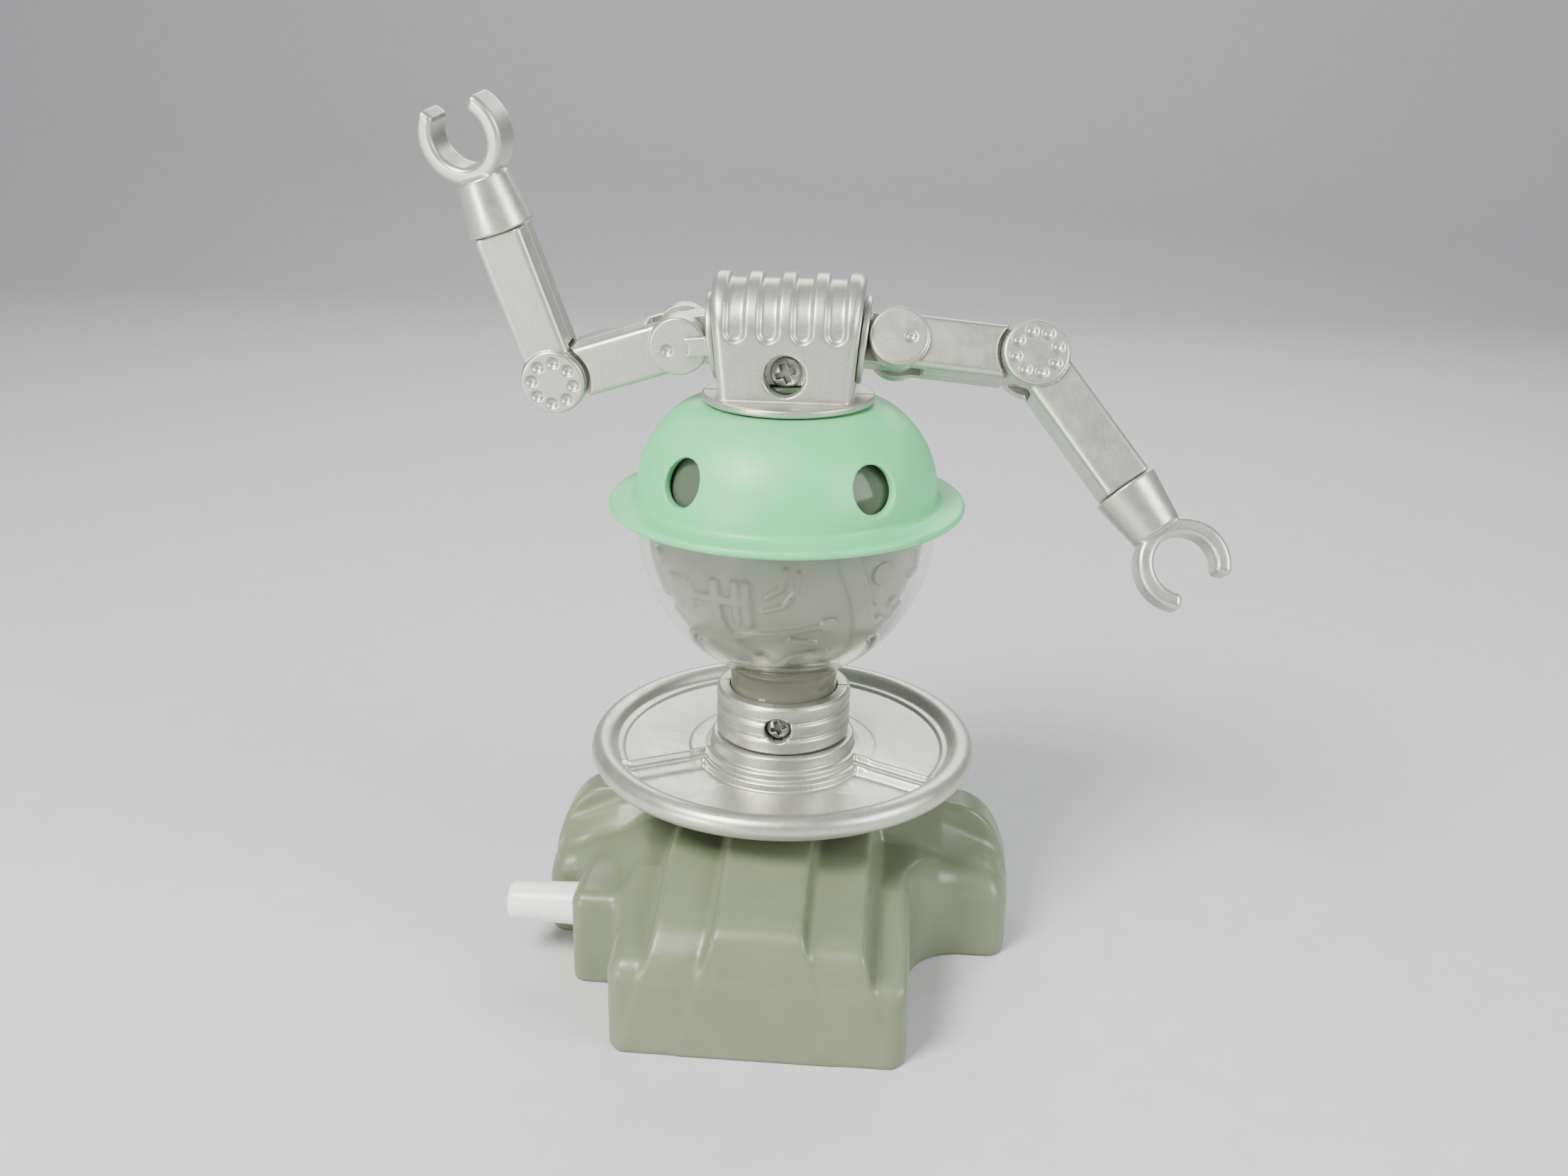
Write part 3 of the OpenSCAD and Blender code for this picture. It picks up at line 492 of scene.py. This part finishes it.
def disc_field(x, y, z):
    r = np.hypot(x, y)
    sector = math.radians(62)
    inside = np.abs(x) * math.cos(sector) + (y - 2) * math.sin(sector)
    t = 0.6 * smoothstep((inside + 1.7) / 1.1) + 0.4 * smoothstep((inside - 0.1) / 0.5)
    floor_z = 25.0 + 1.3 * smoothstep((r - 21.8) / 2.8)
    deck_z = 27.0 + 0.45 * smoothstep((r - 22.2) / 0.5) + 0.2 * smoothstep((13.4 - r) / 0.5)
    top = floor_z + (deck_z - floor_z) * t
    plate = np.maximum(np.maximum(z - top, top - 1.2 - z) * 0.6, r - 24.9)
    skirt = np.maximum(span(r, 21.3, 22.4), np.maximum(23.9 - z, z - top + 0.4))
    d = np.minimum(plate, skirt)
    d = rmin(d, np.hypot(r - 25.3, z - 27.3) - 1.7, 0.5)
    for rad, height in ((11.7, 26.2), (10.8, 27.3), (10.05, 29.3)):
        d = rmin(d, rmax(r - rad, span(z, 23.8, height), 0.4), 0.3)
    d = np.minimum(d, np.maximum(r - 7, span(z, 23.8, 31)))
    d = np.minimum(d, rmax(r - 8.25, span(z, 30.1, 31), 0.1))
    return np.maximum(d, -np.maximum(r - 2.5, z - 26.9))


disc = solid("turntable_disc_moulding", disc_field, (-27.6, -27.6, 23.2), (27.6, 27.6, 31.4), 0.3, ratio=0.6)
dress(disc, SILVER, "silver_plastic", "turntable", "turntable_disc")


def collar_field(side):
    """Front half (side -1) with the screw's recess, or back half (side 1) with its post."""
    def field(x, y, z):
        r = np.hypot(x, y)
        near = np.hypot(x, z - COLLAR_SCREW_Z)
        d = np.maximum(r - 9.0, span(z, COLLAR_LOW, COLLAR_HIGH))
        for i in range(3):
            mid = COLLAR_LOW + 7 / 3 * (i + 0.5)
            d = np.minimum(d, rect(r - 8.36, z - mid, 1.0, 1.11, 0.62))
        d = np.maximum(d, -np.maximum(r - 8.35, span(z, 30, 35.9)))
        d = np.maximum(d, 7.5 - r + np.where(z < 33, 0.4, 0))
        if side < 0:
            d = np.minimum(d, block(x, y, z, (-2.8, -8.7, 31.2), (2.8, -4.0, 34.8)))
            d = cut(d, np.maximum(near - 1.85, y + 7.3), 0.15)
            d = np.maximum(d, -(near - 0.9))
        else:
            d = np.minimum(d, np.maximum(near - 1.5, span(y, -3.9, 8.6)))
            d = np.maximum(d, -np.maximum(near - 0.72, y - 4))
        notch = np.maximum(np.abs(y) - 1.1, np.maximum(8.6 - np.abs(x), z - 30.7))
        d = cut(d, notch, 0.2)
        if side < 0:
            return rmax(d, y + 0.02, 0.12)
        return np.where(near < 1.7, np.maximum(d, -3.9 - y), rmax(d, 0.02 - y, 0.12))
    return field


for side, name in ((-1, "collar_front"), (1, "collar_back")):
    piece = solid(name + "_moulding", collar_field(side), (-9.9, -9.9, 29), (9.9, 9.9, 36.8), 0.17, ratio=0.7)
    dress(piece, SILVER, "silver_plastic", "turntable", name)


def screw_field(head, thick, shank, length):
    """A Phillips screw along +Z with its face at z = 0."""
    def field(x, y, z):
        r = np.hypot(x, y)
        d = rmax(r - head, span(z, 0, thick + 0.02), 0.25)
        dome = np.sqrt(r ** 2 + (z - head * 1.6) ** 2) - head * 1.6
        d = np.maximum(d, dome)
        thread = shank - 0.12 + 0.12 * np.abs(((z + np.arctan2(y, x) / (2 * np.pi) * 0.6) / 0.6) % 1 * 2 - 1)
        d = np.minimum(d, np.maximum(r - thread, span(z, thick, thick + length)))
        w = head * 0.19 + np.clip(0.3 - z, 0, 1) * 0.3
        ax, ay, reach = np.abs(x), np.abs(y), head * 0.68
        cross = np.minimum(np.maximum(ax - w, ay - reach), np.maximum(ay - w, ax - reach))
        return np.maximum(d, -np.maximum(cross, z - thick * 0.85))
    return field


tilt = math.radians(20)  # of the screws' crosses
for name, body, head, thick, shank, length, origin in (
        ("collar_screw", "turntable", 1.6, 0.9, 0.7, 8, (0, -8.5, COLLAR_SCREW_Z)),
        ("block_screw", "torso", 2.0, 1.0, 0.78, 7, (0, -5.4, BLOCK_SCREW_Z))):
    place = place_matrix(origin, (math.cos(tilt), 0, math.sin(tilt)), (math.sin(tilt), 0, -math.cos(tilt)))
    place[:3, 2] = (0, 1, 0)
    piece = solid(name + "_metal", screw_field(head, thick, shank, length), (-head - 0.3, -head - 0.3, -0.3),
                  (head + 0.3, head + 0.3, thick + length + 0.3), 0.1, place)
    dress(piece, STEEL, "steel", body, name)

# ---------------------------------------------------------------- globe and hat


def bowl_curve(inset, z0, z1, n):
    """Outline of the bowl, moved inwards by inset, from height z0 to z1."""
    across, down = BOWL_R - inset, BOWL_DEPTH - inset
    a0, a1 = (math.asin((z - BOWL_Z) / down) for z in (z0, z1))
    angles = [a0 + (a1 - a0) * i / n for i in range(n + 1)]
    return [(across * math.cos(a), BOWL_Z + down * math.sin(a)) for a in angles]


def flutes(r, z, angle):
    """Twelve shallow flutes inside the neck."""
    inside = (r < 6.6) & (z < 41.2)
    deep = np.clip((41.2 - z) / 1.0, 0, 1)
    return np.where(inside, r + 0.16 * deep * np.clip(np.cos(12 * angle), -0.2, 1), r)


outer = bowl_curve(0, 40.6, 62.4, 44)
inner = bowl_curve(GLASS, 41.6, 62.4, 44)
neck = [(6.2, 34.95), (8.15, 34.95), (8.25, 35.05), (8.25, 35.7), (8.15, 35.8), (7.5, 35.8),
        (7.4, 35.9), (7.4, 37.5), (7.4, 39.2), (7.43, 39.7), (7.6, 40.2)]
inner_neck = [(6.45, 41.1), (6.25, 40.7), (6.2, 40.2), (6.2, 39), (6.2, 37.5), (6.2, 36)]
bowl = lathe("globe_bowl_moulding", neck + outer + inner[::-1] + inner_neck, 216, wobble=flutes)
dress(bowl, CLEAR, "clear_plastic", "torso", "globe_bowl")



def dome_arc(radius, start, end):
    """Points on an arc about the hat's shoulder, between two angles in degrees."""
    angles = [math.radians(a) for a in np.linspace(start, end, 16)]
    return [(DOME_EDGE + radius * math.cos(a), DOME_Z + radius * math.sin(a)) for a in angles]


liner_post = [(4, 75.4), (4, 78.55), (5.2, 78.55), (5.2, 79.4), (2.4, 79.4), (2.4, 74.4)]
liner = lathe("globe_liner_moulding",
              [(18.5, 61.95)] + dome_arc(LINER_R, 0, 67.1) + liner_post
              + dome_arc(LINER_R - 1, 66.0, 0) + [(17.5, 61.95)], 144)
dress(liner, FROST, "clear_plastic", "torso", "globe_liner")


def hat_field(x, y, z):
    r = np.hypot(x, y)
    shoulder = np.where(r > DOME_EDGE, np.hypot(r - DOME_EDGE, z - DOME_Z), z - DOME_Z)
    dome = np.where(z < DOME_Z, r - 20.1, shoulder - DOME_R)
    crown = np.maximum(rmax(dome, z - HAT_TOP, 1.2), -np.maximum(dome + 1.2, z - 75.7))
    crown = np.maximum(crown, 4.2 - r)
    lift = 0.55 * smoothstep((21.6 - r) / 2.6)
    brim = rmax(np.maximum(r - 23.8, 18.9 - r), span(z - lift * 0.5, RIM_Z, 63.7), 0.55)
    d = rmin(np.maximum(crown, RIM_Z - z), np.maximum(brim, RIM_Z - z), 0.9)
    d = np.maximum(d, -np.maximum(r - 18.6, z - DOME_Z))
    for a in (-39, 39, 141, 219):  # portholes
        t = math.radians(a)
        along = x * math.sin(t) - y * math.cos(t)
        off = np.hypot(x * math.cos(t) + y * math.sin(t), z - 69.1)
        d = cut(d, np.maximum(off - 3.0, -along), 0.28)
    return d


hat = solid("hat_moulding", hat_field, (-24.3, -24.3, 62), (24.3, 24.3, 77.4), 0.26, ratio=0.55)
dress(hat, MINT, "mint_plastic", "torso", "hat")


# Pipes, as (radius, points), and studs, as (radius, angle, height), on the bowl.
# A point is (angle in degrees from the front, height).
PIPES = [
    (0.55, [(-50, 47.2), (-20, 49.2), (24, 51.6)]),
    (0.75, [(-36, 54.6), (-13, 54.8)]),
    (0.8, [(-24.5, 56.9), (-24.5, 52.4)]),
    (0.7, [(-15.5, 57.2), (-15.5, 51.6)]),
    (0.7, [(-11, 57.2), (-11, 51.6)]),
    (0.7, [(-24, 51.4), (-20, 48.4), (-10, 45.6)]),
    (0.65, [(-44, 45.6), (-25, 44.0), (-6, 43.4), (3, 44.6), (7, 46.2), (16, 46.9), (27, 46.9)]),
    (0.5, [(-4, 53.8), (4, 54.6), (9, 56.6), (10, 59)]),
    (0.5, [(-3, 55.8), (3, 57), (5, 59.4)]),
    (0.6, [(-74, 58.4), (-71, 53.6)]),
    (0.6, [(-65, 57.6), (-62, 52.2)]),
    (0.6, [(-64, 49.4), (-50, 47.2)]),
    (0.55, [(60, 47.5), (72, 50.5), (84, 49.5)]),
    (0.7, [(66, 56), (84, 55.2)]),
    (0.6, [(8, 49.3), (20, 48.6)]),
] + [(0.6, [(-48 + 3.6 * i, 56.2), (-48 + 3.6 * i, 53)]) for i in range(4)]
STUDS = [
    (0.85, 44, 52.8), (0.85, 50, 50.8), (0.85, 57, 53), (0.8, 56, 49.9), (0.85, 64, 51.6), (1.2, -9.5, 45.4),
    (1.6, 46, 57.8), (1.7, 74, 58.4), (1.1, -62, 46.4), (1.2, 24, 51.6), (1.1, -56, 58.2),
]


def machine_field(x, y, z):
    """A thin clear bowl with pipes, a coil, levers, a strap and bolts raised on it, twice round."""
    rise = (z - BOWL_Z) * 0.92
    q = np.sqrt(x ** 2 + y ** 2 + rise ** 2)
    r = np.hypot(x, y)
    az = (np.degrees(np.arctan2(x, -y)) + 90) % 180 - 90
    best = np.maximum(q - SKIN_OUT, SKIN_IN - q)
    best = np.minimum(best, np.maximum(q - SKIN_OUT, span(z, 42.6, 43.4)))
    lift = q - 18.1

    def away(a0, z0, a1, z1):
        """Distance over the surface from a line between two points."""
        u, v = np.radians(az - a0) * r, (z - z0) * 1.1
        du, dv = np.radians(a1 - a0) * r, (z1 - z0) * 1.1
        k = np.clip((u * du + v * dv) / np.maximum(du ** 2 + dv ** 2, 1e-6), 0, 1)
        return np.hypot(u - k * du, v - k * dv)

    for rad, line in PIPES:
        off = away(*line[0], *line[1])
        for a, b in zip(line[1:-1], line[2:]):
            off = np.minimum(off, away(*a, *b))
        best = rmin(best, np.hypot(off, lift) - rad, 0.3)
    for rad, a, h in STUDS:
        best = rmin(best, rmax(away(a, h, a, h) - rad, span(q, 17.6, 18.68), 0.25), 0.25)
    strap = np.minimum(away(30, 60, 52, 43), away(30, 62, 30, 60))
    best = rmin(best, rmax(strap - 1.55, span(q, 17.6, 18.62), 0.25), 0.3)
    best = np.maximum(best, np.maximum(q - 18.7, np.maximum(42.6 - z, z - 61.0)))
    rim = np.maximum(np.maximum(r - 18.6, 16.6 - r), span(z, 60.95, 61.85))
    return np.minimum(best, rim)


machinery = solid("machinery_insert_moulding", machine_field, (-19, -19, 42.2), (19, 19, 62.3), 0.25,
                  ratio=0.6)
dress(machinery, CLOUD, "clear_plastic", "torso", "machinery_insert")

# ---------------------------------------------------------------- return spring


def spring_coil(low, high, wire=0.3, turns=6, per_turn=40, sides=14):
    """A wire wound along X, which fills a box given in millimetres."""
    middle = (low + high) / 2
    coil = (high[1] - low[1]) / 2 - wire
    rings = turns * per_turn
    i, j = np.meshgrid(np.arange(rings + 1), np.arange(sides), indexing="ij")
    turn, around = math.tau * i / per_turn, math.tau * j / sides
    r = coil + wire * np.cos(around)
    along = low[0] + wire + (high[0] - low[0] - 2 * wire) * i / rings + wire * np.sin(around)
    points = np.stack([along, middle[1] + r * np.cos(turn), middle[2] + r * np.sin(turn)], axis=-1)
    faces = []
    for ring in range(rings):
        for side in range(sides):
            start, after = ring * sides + side, ring * sides + (side + 1) % sides
            faces.append((start, after, after + sides, start + sides))
    faces.append(tuple(reversed(range(sides))))
    faces.append(tuple(rings * sides + side for side in range(sides)))
    return mesh_object("return_spring_coil", points.reshape(-1, 3), faces)


spring_low, spring_high = (np.array(p, float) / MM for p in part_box("return_spring"))
spring = spring_coil(spring_low, spring_high)
dress(spring, STEEL, "steel", "base", "return_spring")
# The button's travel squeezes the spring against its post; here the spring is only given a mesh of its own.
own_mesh(spring)

# ---------------------------------------------------------------- shoulder block


def block_side(y, z, inset):
    """The block's front, back and round top, moved inwards by inset."""
    return np.where(z > AXLE_Z, np.hypot(y, z - AXLE_Z), np.abs(y)) - BLOCK_HALF_D + inset


def block_body(x, y, z, inset):
    half_w = BLOCK_HALF_W + (z - BLOCK_WIDTH_Z) * math.tan(BLOCK_LEAN)
    sides = (np.abs(x) - half_w) * math.cos(BLOCK_LEAN) + inset
    edge = 1.25 if inset == 0 else 0
    return rmax(rmax(block_side(y, z, inset), sides, edge), HAT_TOP + inset - z, 0.0)


SWING = {n: (pivot(n + "_shoulder_swing"), axis(n + "_shoulder_swing")) for n in ("left", "right")}


def block_field(side):
    """Front half (side -1) with the screw's recess, or back half (side 1) with its post."""
    def field(x, y, z):
        r = np.hypot(x, y)
        d = block_body(x, y, z, 0)
        lip = rmax(r - 11.35, span(z, HAT_TOP, 77.9), 0.3)
        d = rmin(d, lip, 0.35)
        for gx in (-6.4, -2.13, 2.13, 6.4):
            slot = np.where(z < 86.8, np.hypot(x - gx, z - 86.8), np.abs(x - gx)) - 1.2
            d = cut(d, rmax(slot, -block_side(y, z, 0.75), 0.5), 0.4)
        inside = block_body(x, y, z, WALL)
        near = np.hypot(x, z - BLOCK_SCREW_Z)
        if side < 0:
            post = np.maximum(near - 3.3, span(y, -6.7, -3.0))
        else:
            post = np.maximum(near - 1.4, span(y, -2.95, 6.55))
        d = np.maximum(d, -np.maximum(inside, -post))
        if side > 0:
            d = np.minimum(d, post)
            d = np.maximum(d, -np.maximum(near - 0.8, span(y, -5, 4)))
        else:
            d = cut(d, np.maximum(near - 2.65, y + 4.35), 0.3)
            d = np.maximum(d, -np.maximum(near - 1.2, y + 2))
        d = np.maximum(d, -np.maximum(r - 4.1, z - 80))
        d = np.maximum(d, -np.maximum(r - 5.3, span(z, 78.5, 79.5)))
        for p, a in SWING.values():
            along = (x - p[0]) * a[0] + (y - p[1]) * a[1] + (z - p[2]) * a[2]
            square = (x - p[0]) ** 2 + (y - p[1]) ** 2 + (z - p[2]) ** 2
            off = np.sqrt(np.maximum(square - along ** 2, 0))
            d = np.maximum(d, -np.maximum(off - 2.45, np.abs(along) - 5))
        half = y + 0.02 if side < 0 else 0.02 - y
        if side > 0:
            half = np.where(near < 1.7, -2.95 - y, half)
        return rmax(d, half, 0.14)
    return field


for side, name in ((-1, "block_front"), (1, "block_back")):
    piece = solid(name + "_moulding", block_field(side), (-11.8, -11.8, 76.5), (11.8, 11.8, 93.8), 0.2,
                  ratio=0.7)
    dress(piece, SILVER, "silver_plastic", "torso", name)

# ---------------------------------------------------------------- arms


def yoke_field(x, y, z):
    r = np.hypot(y, z)
    d = np.maximum(r - 2.4, span(x, 6.1, 10))
    d = np.minimum(d, rmax(r - 3.6, span(x, 6.1, 7.4), 0.2))
    d = np.minimum(d, rmax(r - 5.7, span(x, 9.31, 10.15), 0.3))
    ear = np.hypot(x - EAR_X, z)
    tongue = np.maximum(np.where(x < EAR_X, np.abs(z), ear) - 3.3, 9.7 - x)
    d = rmin(d, rmax(tongue, np.abs(y) - TONGUE_HALF, 0.25), 0.3)
    d = rmin(d, block(x, y, z, (9.6, 4.35, -1.3), (13.2, 5.1, 1.3), 0.3), 0.25)
    return np.maximum(d, TONGUE_BORE - ear)


def half_of(d, y, way, edge=0.1):
    """Keeps one half of a moulding, its parting edge softened."""
    return rmax(d, y + 0.015 if way < 0 else 0.015 - y, edge)


def pips(d, x, y, z, spots):
    """Dimples in both faces of a cap."""
    for px, pz in spots:
        for s in (-1, 1):
            ball = np.sqrt((x - px) ** 2 + (z - pz) ** 2 + (y - s * (CAP_FACE + 0.34)) ** 2)
            d = cut(d, ball - 0.86, 0.06)
    return d


def pin_and_peg(d, x, y, z, hinge, peg_x, way):
    """The front half carries the hinge pin and a locating peg, and the back half their sockets."""
    peg = np.hypot(x - peg_x, z)
    if way < 0:
        d = np.minimum(d, np.maximum(hinge - PIN_R, span(y, -2.2, 3)))
        return np.minimum(d, np.maximum(peg - 0.9, span(y, -0.5, 2)))
    d = np.maximum(d, -np.maximum(hinge - PIN_R - 0.02, y - 3.1))
    return np.maximum(d, -np.maximum(peg - 0.92, y - 2.1))


def upper_field(way):
    def field(x, y, z):
        ear = np.hypot(x, z)
        far_end = np.hypot(x - UPPER_LEN, z)
        bar = rmax(rect(y, z, 3.4, 3.4, 0.9), span(x, 0, UPPER_LEN), 0)
        d = np.minimum(bar, rmax(ear - 3.8, np.abs(y) - 3.5, 0.3))
        d = rmin(d, rmax(ear - 3.8, np.abs(y) - CAP_FACE, 0.35), 0.12)
        d = np.maximum(d, -np.maximum(np.abs(y) - CHEEK_IN, x - 3.6))
        d = cut(d, far_end - ELBOW_CUT, 0.25)
        tongue = np.maximum(np.where(x > UPPER_LEN, far_end, np.abs(z)) - 3.3, 11.8 - x)
        d = np.minimum(d, rmax(tongue, np.abs(y) - TONGUE_HALF, 0.2))
        d = np.maximum(d, TONGUE_BORE - far_end)
        d = half_of(pips(d, x, y, z, [(1.5, 0)]), y, way)
        return pin_and_peg(d, x, y, z, ear, 8.4, way)
    return field


RING_ANGLES = [math.radians(45 * i + 22.5) for i in range(8)]
RING = [(2.75 * math.cos(a), 2.75 * math.sin(a)) for a in RING_ANGLES]


def fore_field(way):
    def field(x, y, z):
        elbow = np.hypot(x, z)
        bar = rmax(rect(y, z, 3.4, 3.2, 0.9), span(x, 0, 20), 0.35)
        bar = np.maximum(bar, -np.maximum(np.abs(y) - CHEEK_IN, elbow - ELBOW_CUT))
        cheek = rmax(rmax(elbow - 4.35, np.abs(y) - 3.45, 0.3), CHEEK_IN - np.abs(y), 0.1)
        cap = rmax(rmax(elbow - 4.2, np.abs(y) - CAP_FACE, 0.35), CHEEK_IN - np.abs(y), 0.1)
        d = pips(np.minimum(np.minimum(bar, cheek), cap), x, y, z, RING)
        r = np.hypot(y, z)
        d = np.maximum(d, -np.maximum(r - 1.55, 15.5 - x))
        d = np.maximum(d, -np.maximum(r - 2.4, span(x, 15.5, 16.9)))
        return pin_and_peg(half_of(d, y, way), x, y, z, elbow, 10, way)
    return field


def hand_field(x, y, z):
    r = np.hypot(y, z)
    d = np.maximum(r - 1.5, span(x, 15.7, 24))
    d = np.minimum(d, rmax(r - 2.3, span(x, 15.6, 16.8), 0.15))
    cone = (r - 4.3 + (x - 20.1) * (0.97 / 6.9)) * 0.99
    cuff = rmax(cone, span(x, 20.1, 27.0), 0.3)
    d = np.minimum(d, cuff)
    claw = rect(np.hypot(x - CLAW_X, z) - 4.85, y, 1.05, 2.15, 0.72)
    opening = math.radians(40)
    gap = math.cos(opening) * np.abs(z) - math.sin(opening) * (x - CLAW_X)
    claw = rmax(claw, np.where(x > CLAW_X, -gap, -np.abs(z) - 9), 0.7)
    return rmin(d, claw, 0.35)


def turn_x(angle):
    """A turn about X, in degrees."""
    c, s = math.cos(math.radians(angle)), math.sin(math.radians(angle))
    out = np.eye(4)
    out[1:3, 1:3] = [[c, -s], [s, c]]
    return out


for name, wrist in (("left", -16.0), ("right", 0.0)):
    joints = ("_shoulder_swing", "_arm_lift", "_elbow_bend", "_wrist_turn")
    swing, lift, elbow, turn = (name + joint for joint in joints)
    pivot_y = -axis(lift)
    yoke_place = place_matrix(pivot(lift) - EAR_X * axis(swing), axis(swing), pivot_y)
    upper_place = place_matrix(pivot(lift), pivot(elbow) - pivot(lift), pivot_y)
    fore_place = place_matrix(pivot(elbow), axis(turn), pivot_y)
    piece = solid("yoke_" + name + "_moulding", yoke_field, (5.8, -6.1, -6.1), (17.8, 6.1, 6.1), 0.17,
                  yoke_place, 0.7)
    dress(piece, SILVER, "silver_plastic", name + "_yoke", "yoke_" + name)
    for way, half in ((-1, "front"), (1, "back")):
        node = "upper_arm_%s_%s" % (half, name)
        piece = solid(node + "_moulding", upper_field(way), (-4.2, -4.6, -4.2), (21.2, 4.6, 4.2), 0.16,
                      upper_place, 0.7)
        dress(piece, SILVER, "silver_plastic", name + "_upper_arm", node)
        node = "forearm_%s_%s" % (half, name)
        piece = solid(node + "_moulding", fore_field(way), (-4.8, -4.6, -4.8), (20.4, 4.6, 4.8), 0.16,
                      fore_place, 0.7)
        dress(piece, SILVER, "silver_plastic", name + "_forearm", node)
    piece = solid("hand_" + name + "_moulding", hand_field, (15.2, -4.7, -6.3), (38.5, 4.7, 6.3), 0.17,
                  fore_place @ turn_x(wrist), 0.7)
    dress(piece, SILVER, "silver_plastic", name + "_hand", "hand_" + name)

# ---------------------------------------------------------------- pieces that stay as they are in the frame

SLOTS = {s["node"]: s["material_slot"] for s in frame["record"]["subparts"]}
for node, obj in frame["nodes"].items():
    obj.data.materials.clear()
    obj.data.materials.append(SLOT_MATERIAL[SLOTS[node]])

# ---------------------------------------------------------------- floor, light and camera

FLOOR_REACH, BEND_Y, BEND_R, BACKDROP_H = 2600.0, 520.0, 300.0, 1500.0
bends = [math.radians(a) for a in range(5, 95, 5)]
sweep = [(-FLOOR_REACH, 0.0), (BEND_Y, 0.0)]
sweep += [(BEND_Y + BEND_R * math.sin(a), BEND_R - BEND_R * math.cos(a)) for a in bends]
sweep.append((BEND_Y + BEND_R, BACKDROP_H))
floor = mesh_object("floor", [(side * FLOOR_REACH, y, z) for y, z in sweep for side in (-1, 1)],
                    [[2 * i, 2 * i + 1, 2 * i + 3, 2 * i + 2] for i in range(len(sweep) - 1)])
paper = material("paper_floor", (0.62, 0.62, 0.63), 0.7, tone=0.02, grain=1200, bump=0.02)
floor.data.materials.append(paper)

world = bpy.data.worlds.new("studio")
bpy.context.scene.world = world
world.use_nodes = True
world.node_tree.nodes["Background"].inputs["Color"].default_value = (0.78, 0.8, 0.84, 1)
world.node_tree.nodes["Background"].inputs["Strength"].default_value = 0.34


def softbox(name, where, size, power, colour):
    """A rectangular lamp that points at the middle of the object."""
    data = bpy.data.lights.new(name, "AREA")
    data.shape = "RECTANGLE"
    data.size, data.size_y = size
    data.energy = power
    data.color = colour
    obj = bpy.data.objects.new(name, data)
    bpy.context.collection.objects.link(obj)
    obj.location = where
    obj.rotation_euler = (Vector((0, 0, 0.055)) - Vector(where)).to_track_quat("-Z", "Y").to_euler()


softbox("key", (-0.24, -0.30, 0.46), (0.2, 0.2), 5.6, (1, 0.99, 0.97))
softbox("fill", (0.42, -0.2, 0.26), (0.24, 0.24), 2.2, (0.97, 0.98, 1))
softbox("back", (0.05, 0.42, 0.36), (0.5, 0.2), 1.6, (1, 1, 1))
softbox("low", (-0.26, -0.3, 0.06), (0.1, 0.1), 0.75, (1, 1, 0.98))

IMAGE_WIDTH, SENSOR_WIDTH = 2212.0, 36.0
FOCAL = 2150.0  # in the image's own units
HEADING, PITCH, ROLL = math.radians(4.64), math.radians(20.18), math.radians(0.93)
CAMERA_AT = Vector((15.711, -195.693, 122.573)) * MM
right_dir = Vector((math.cos(HEADING), math.sin(HEADING), 0))
flat = math.cos(PITCH)
view = Vector((-math.sin(HEADING) * flat, math.cos(HEADING) * flat, -math.sin(PITCH)))
up_dir = right_dir.cross(view)
cam_x = right_dir * math.cos(ROLL) + up_dir * math.sin(ROLL)
cam_y = -right_dir * math.sin(ROLL) + up_dir * math.cos(ROLL)
camera_data = bpy.data.cameras.new("camera")
camera_data.sensor_fit = "HORIZONTAL"
camera_data.sensor_width = SENSOR_WIDTH
camera_data.lens = SENSOR_WIDTH * FOCAL / IMAGE_WIDTH
camera_data.clip_start = 0.005
camera = bpy.data.objects.new("camera", camera_data)
bpy.context.collection.objects.link(camera)
basis = Matrix((cam_x, cam_y, -view)).transposed().to_4x4()
camera.matrix_world = Matrix.Translation(CAMERA_AT) @ basis
bpy.context.scene.camera = camera
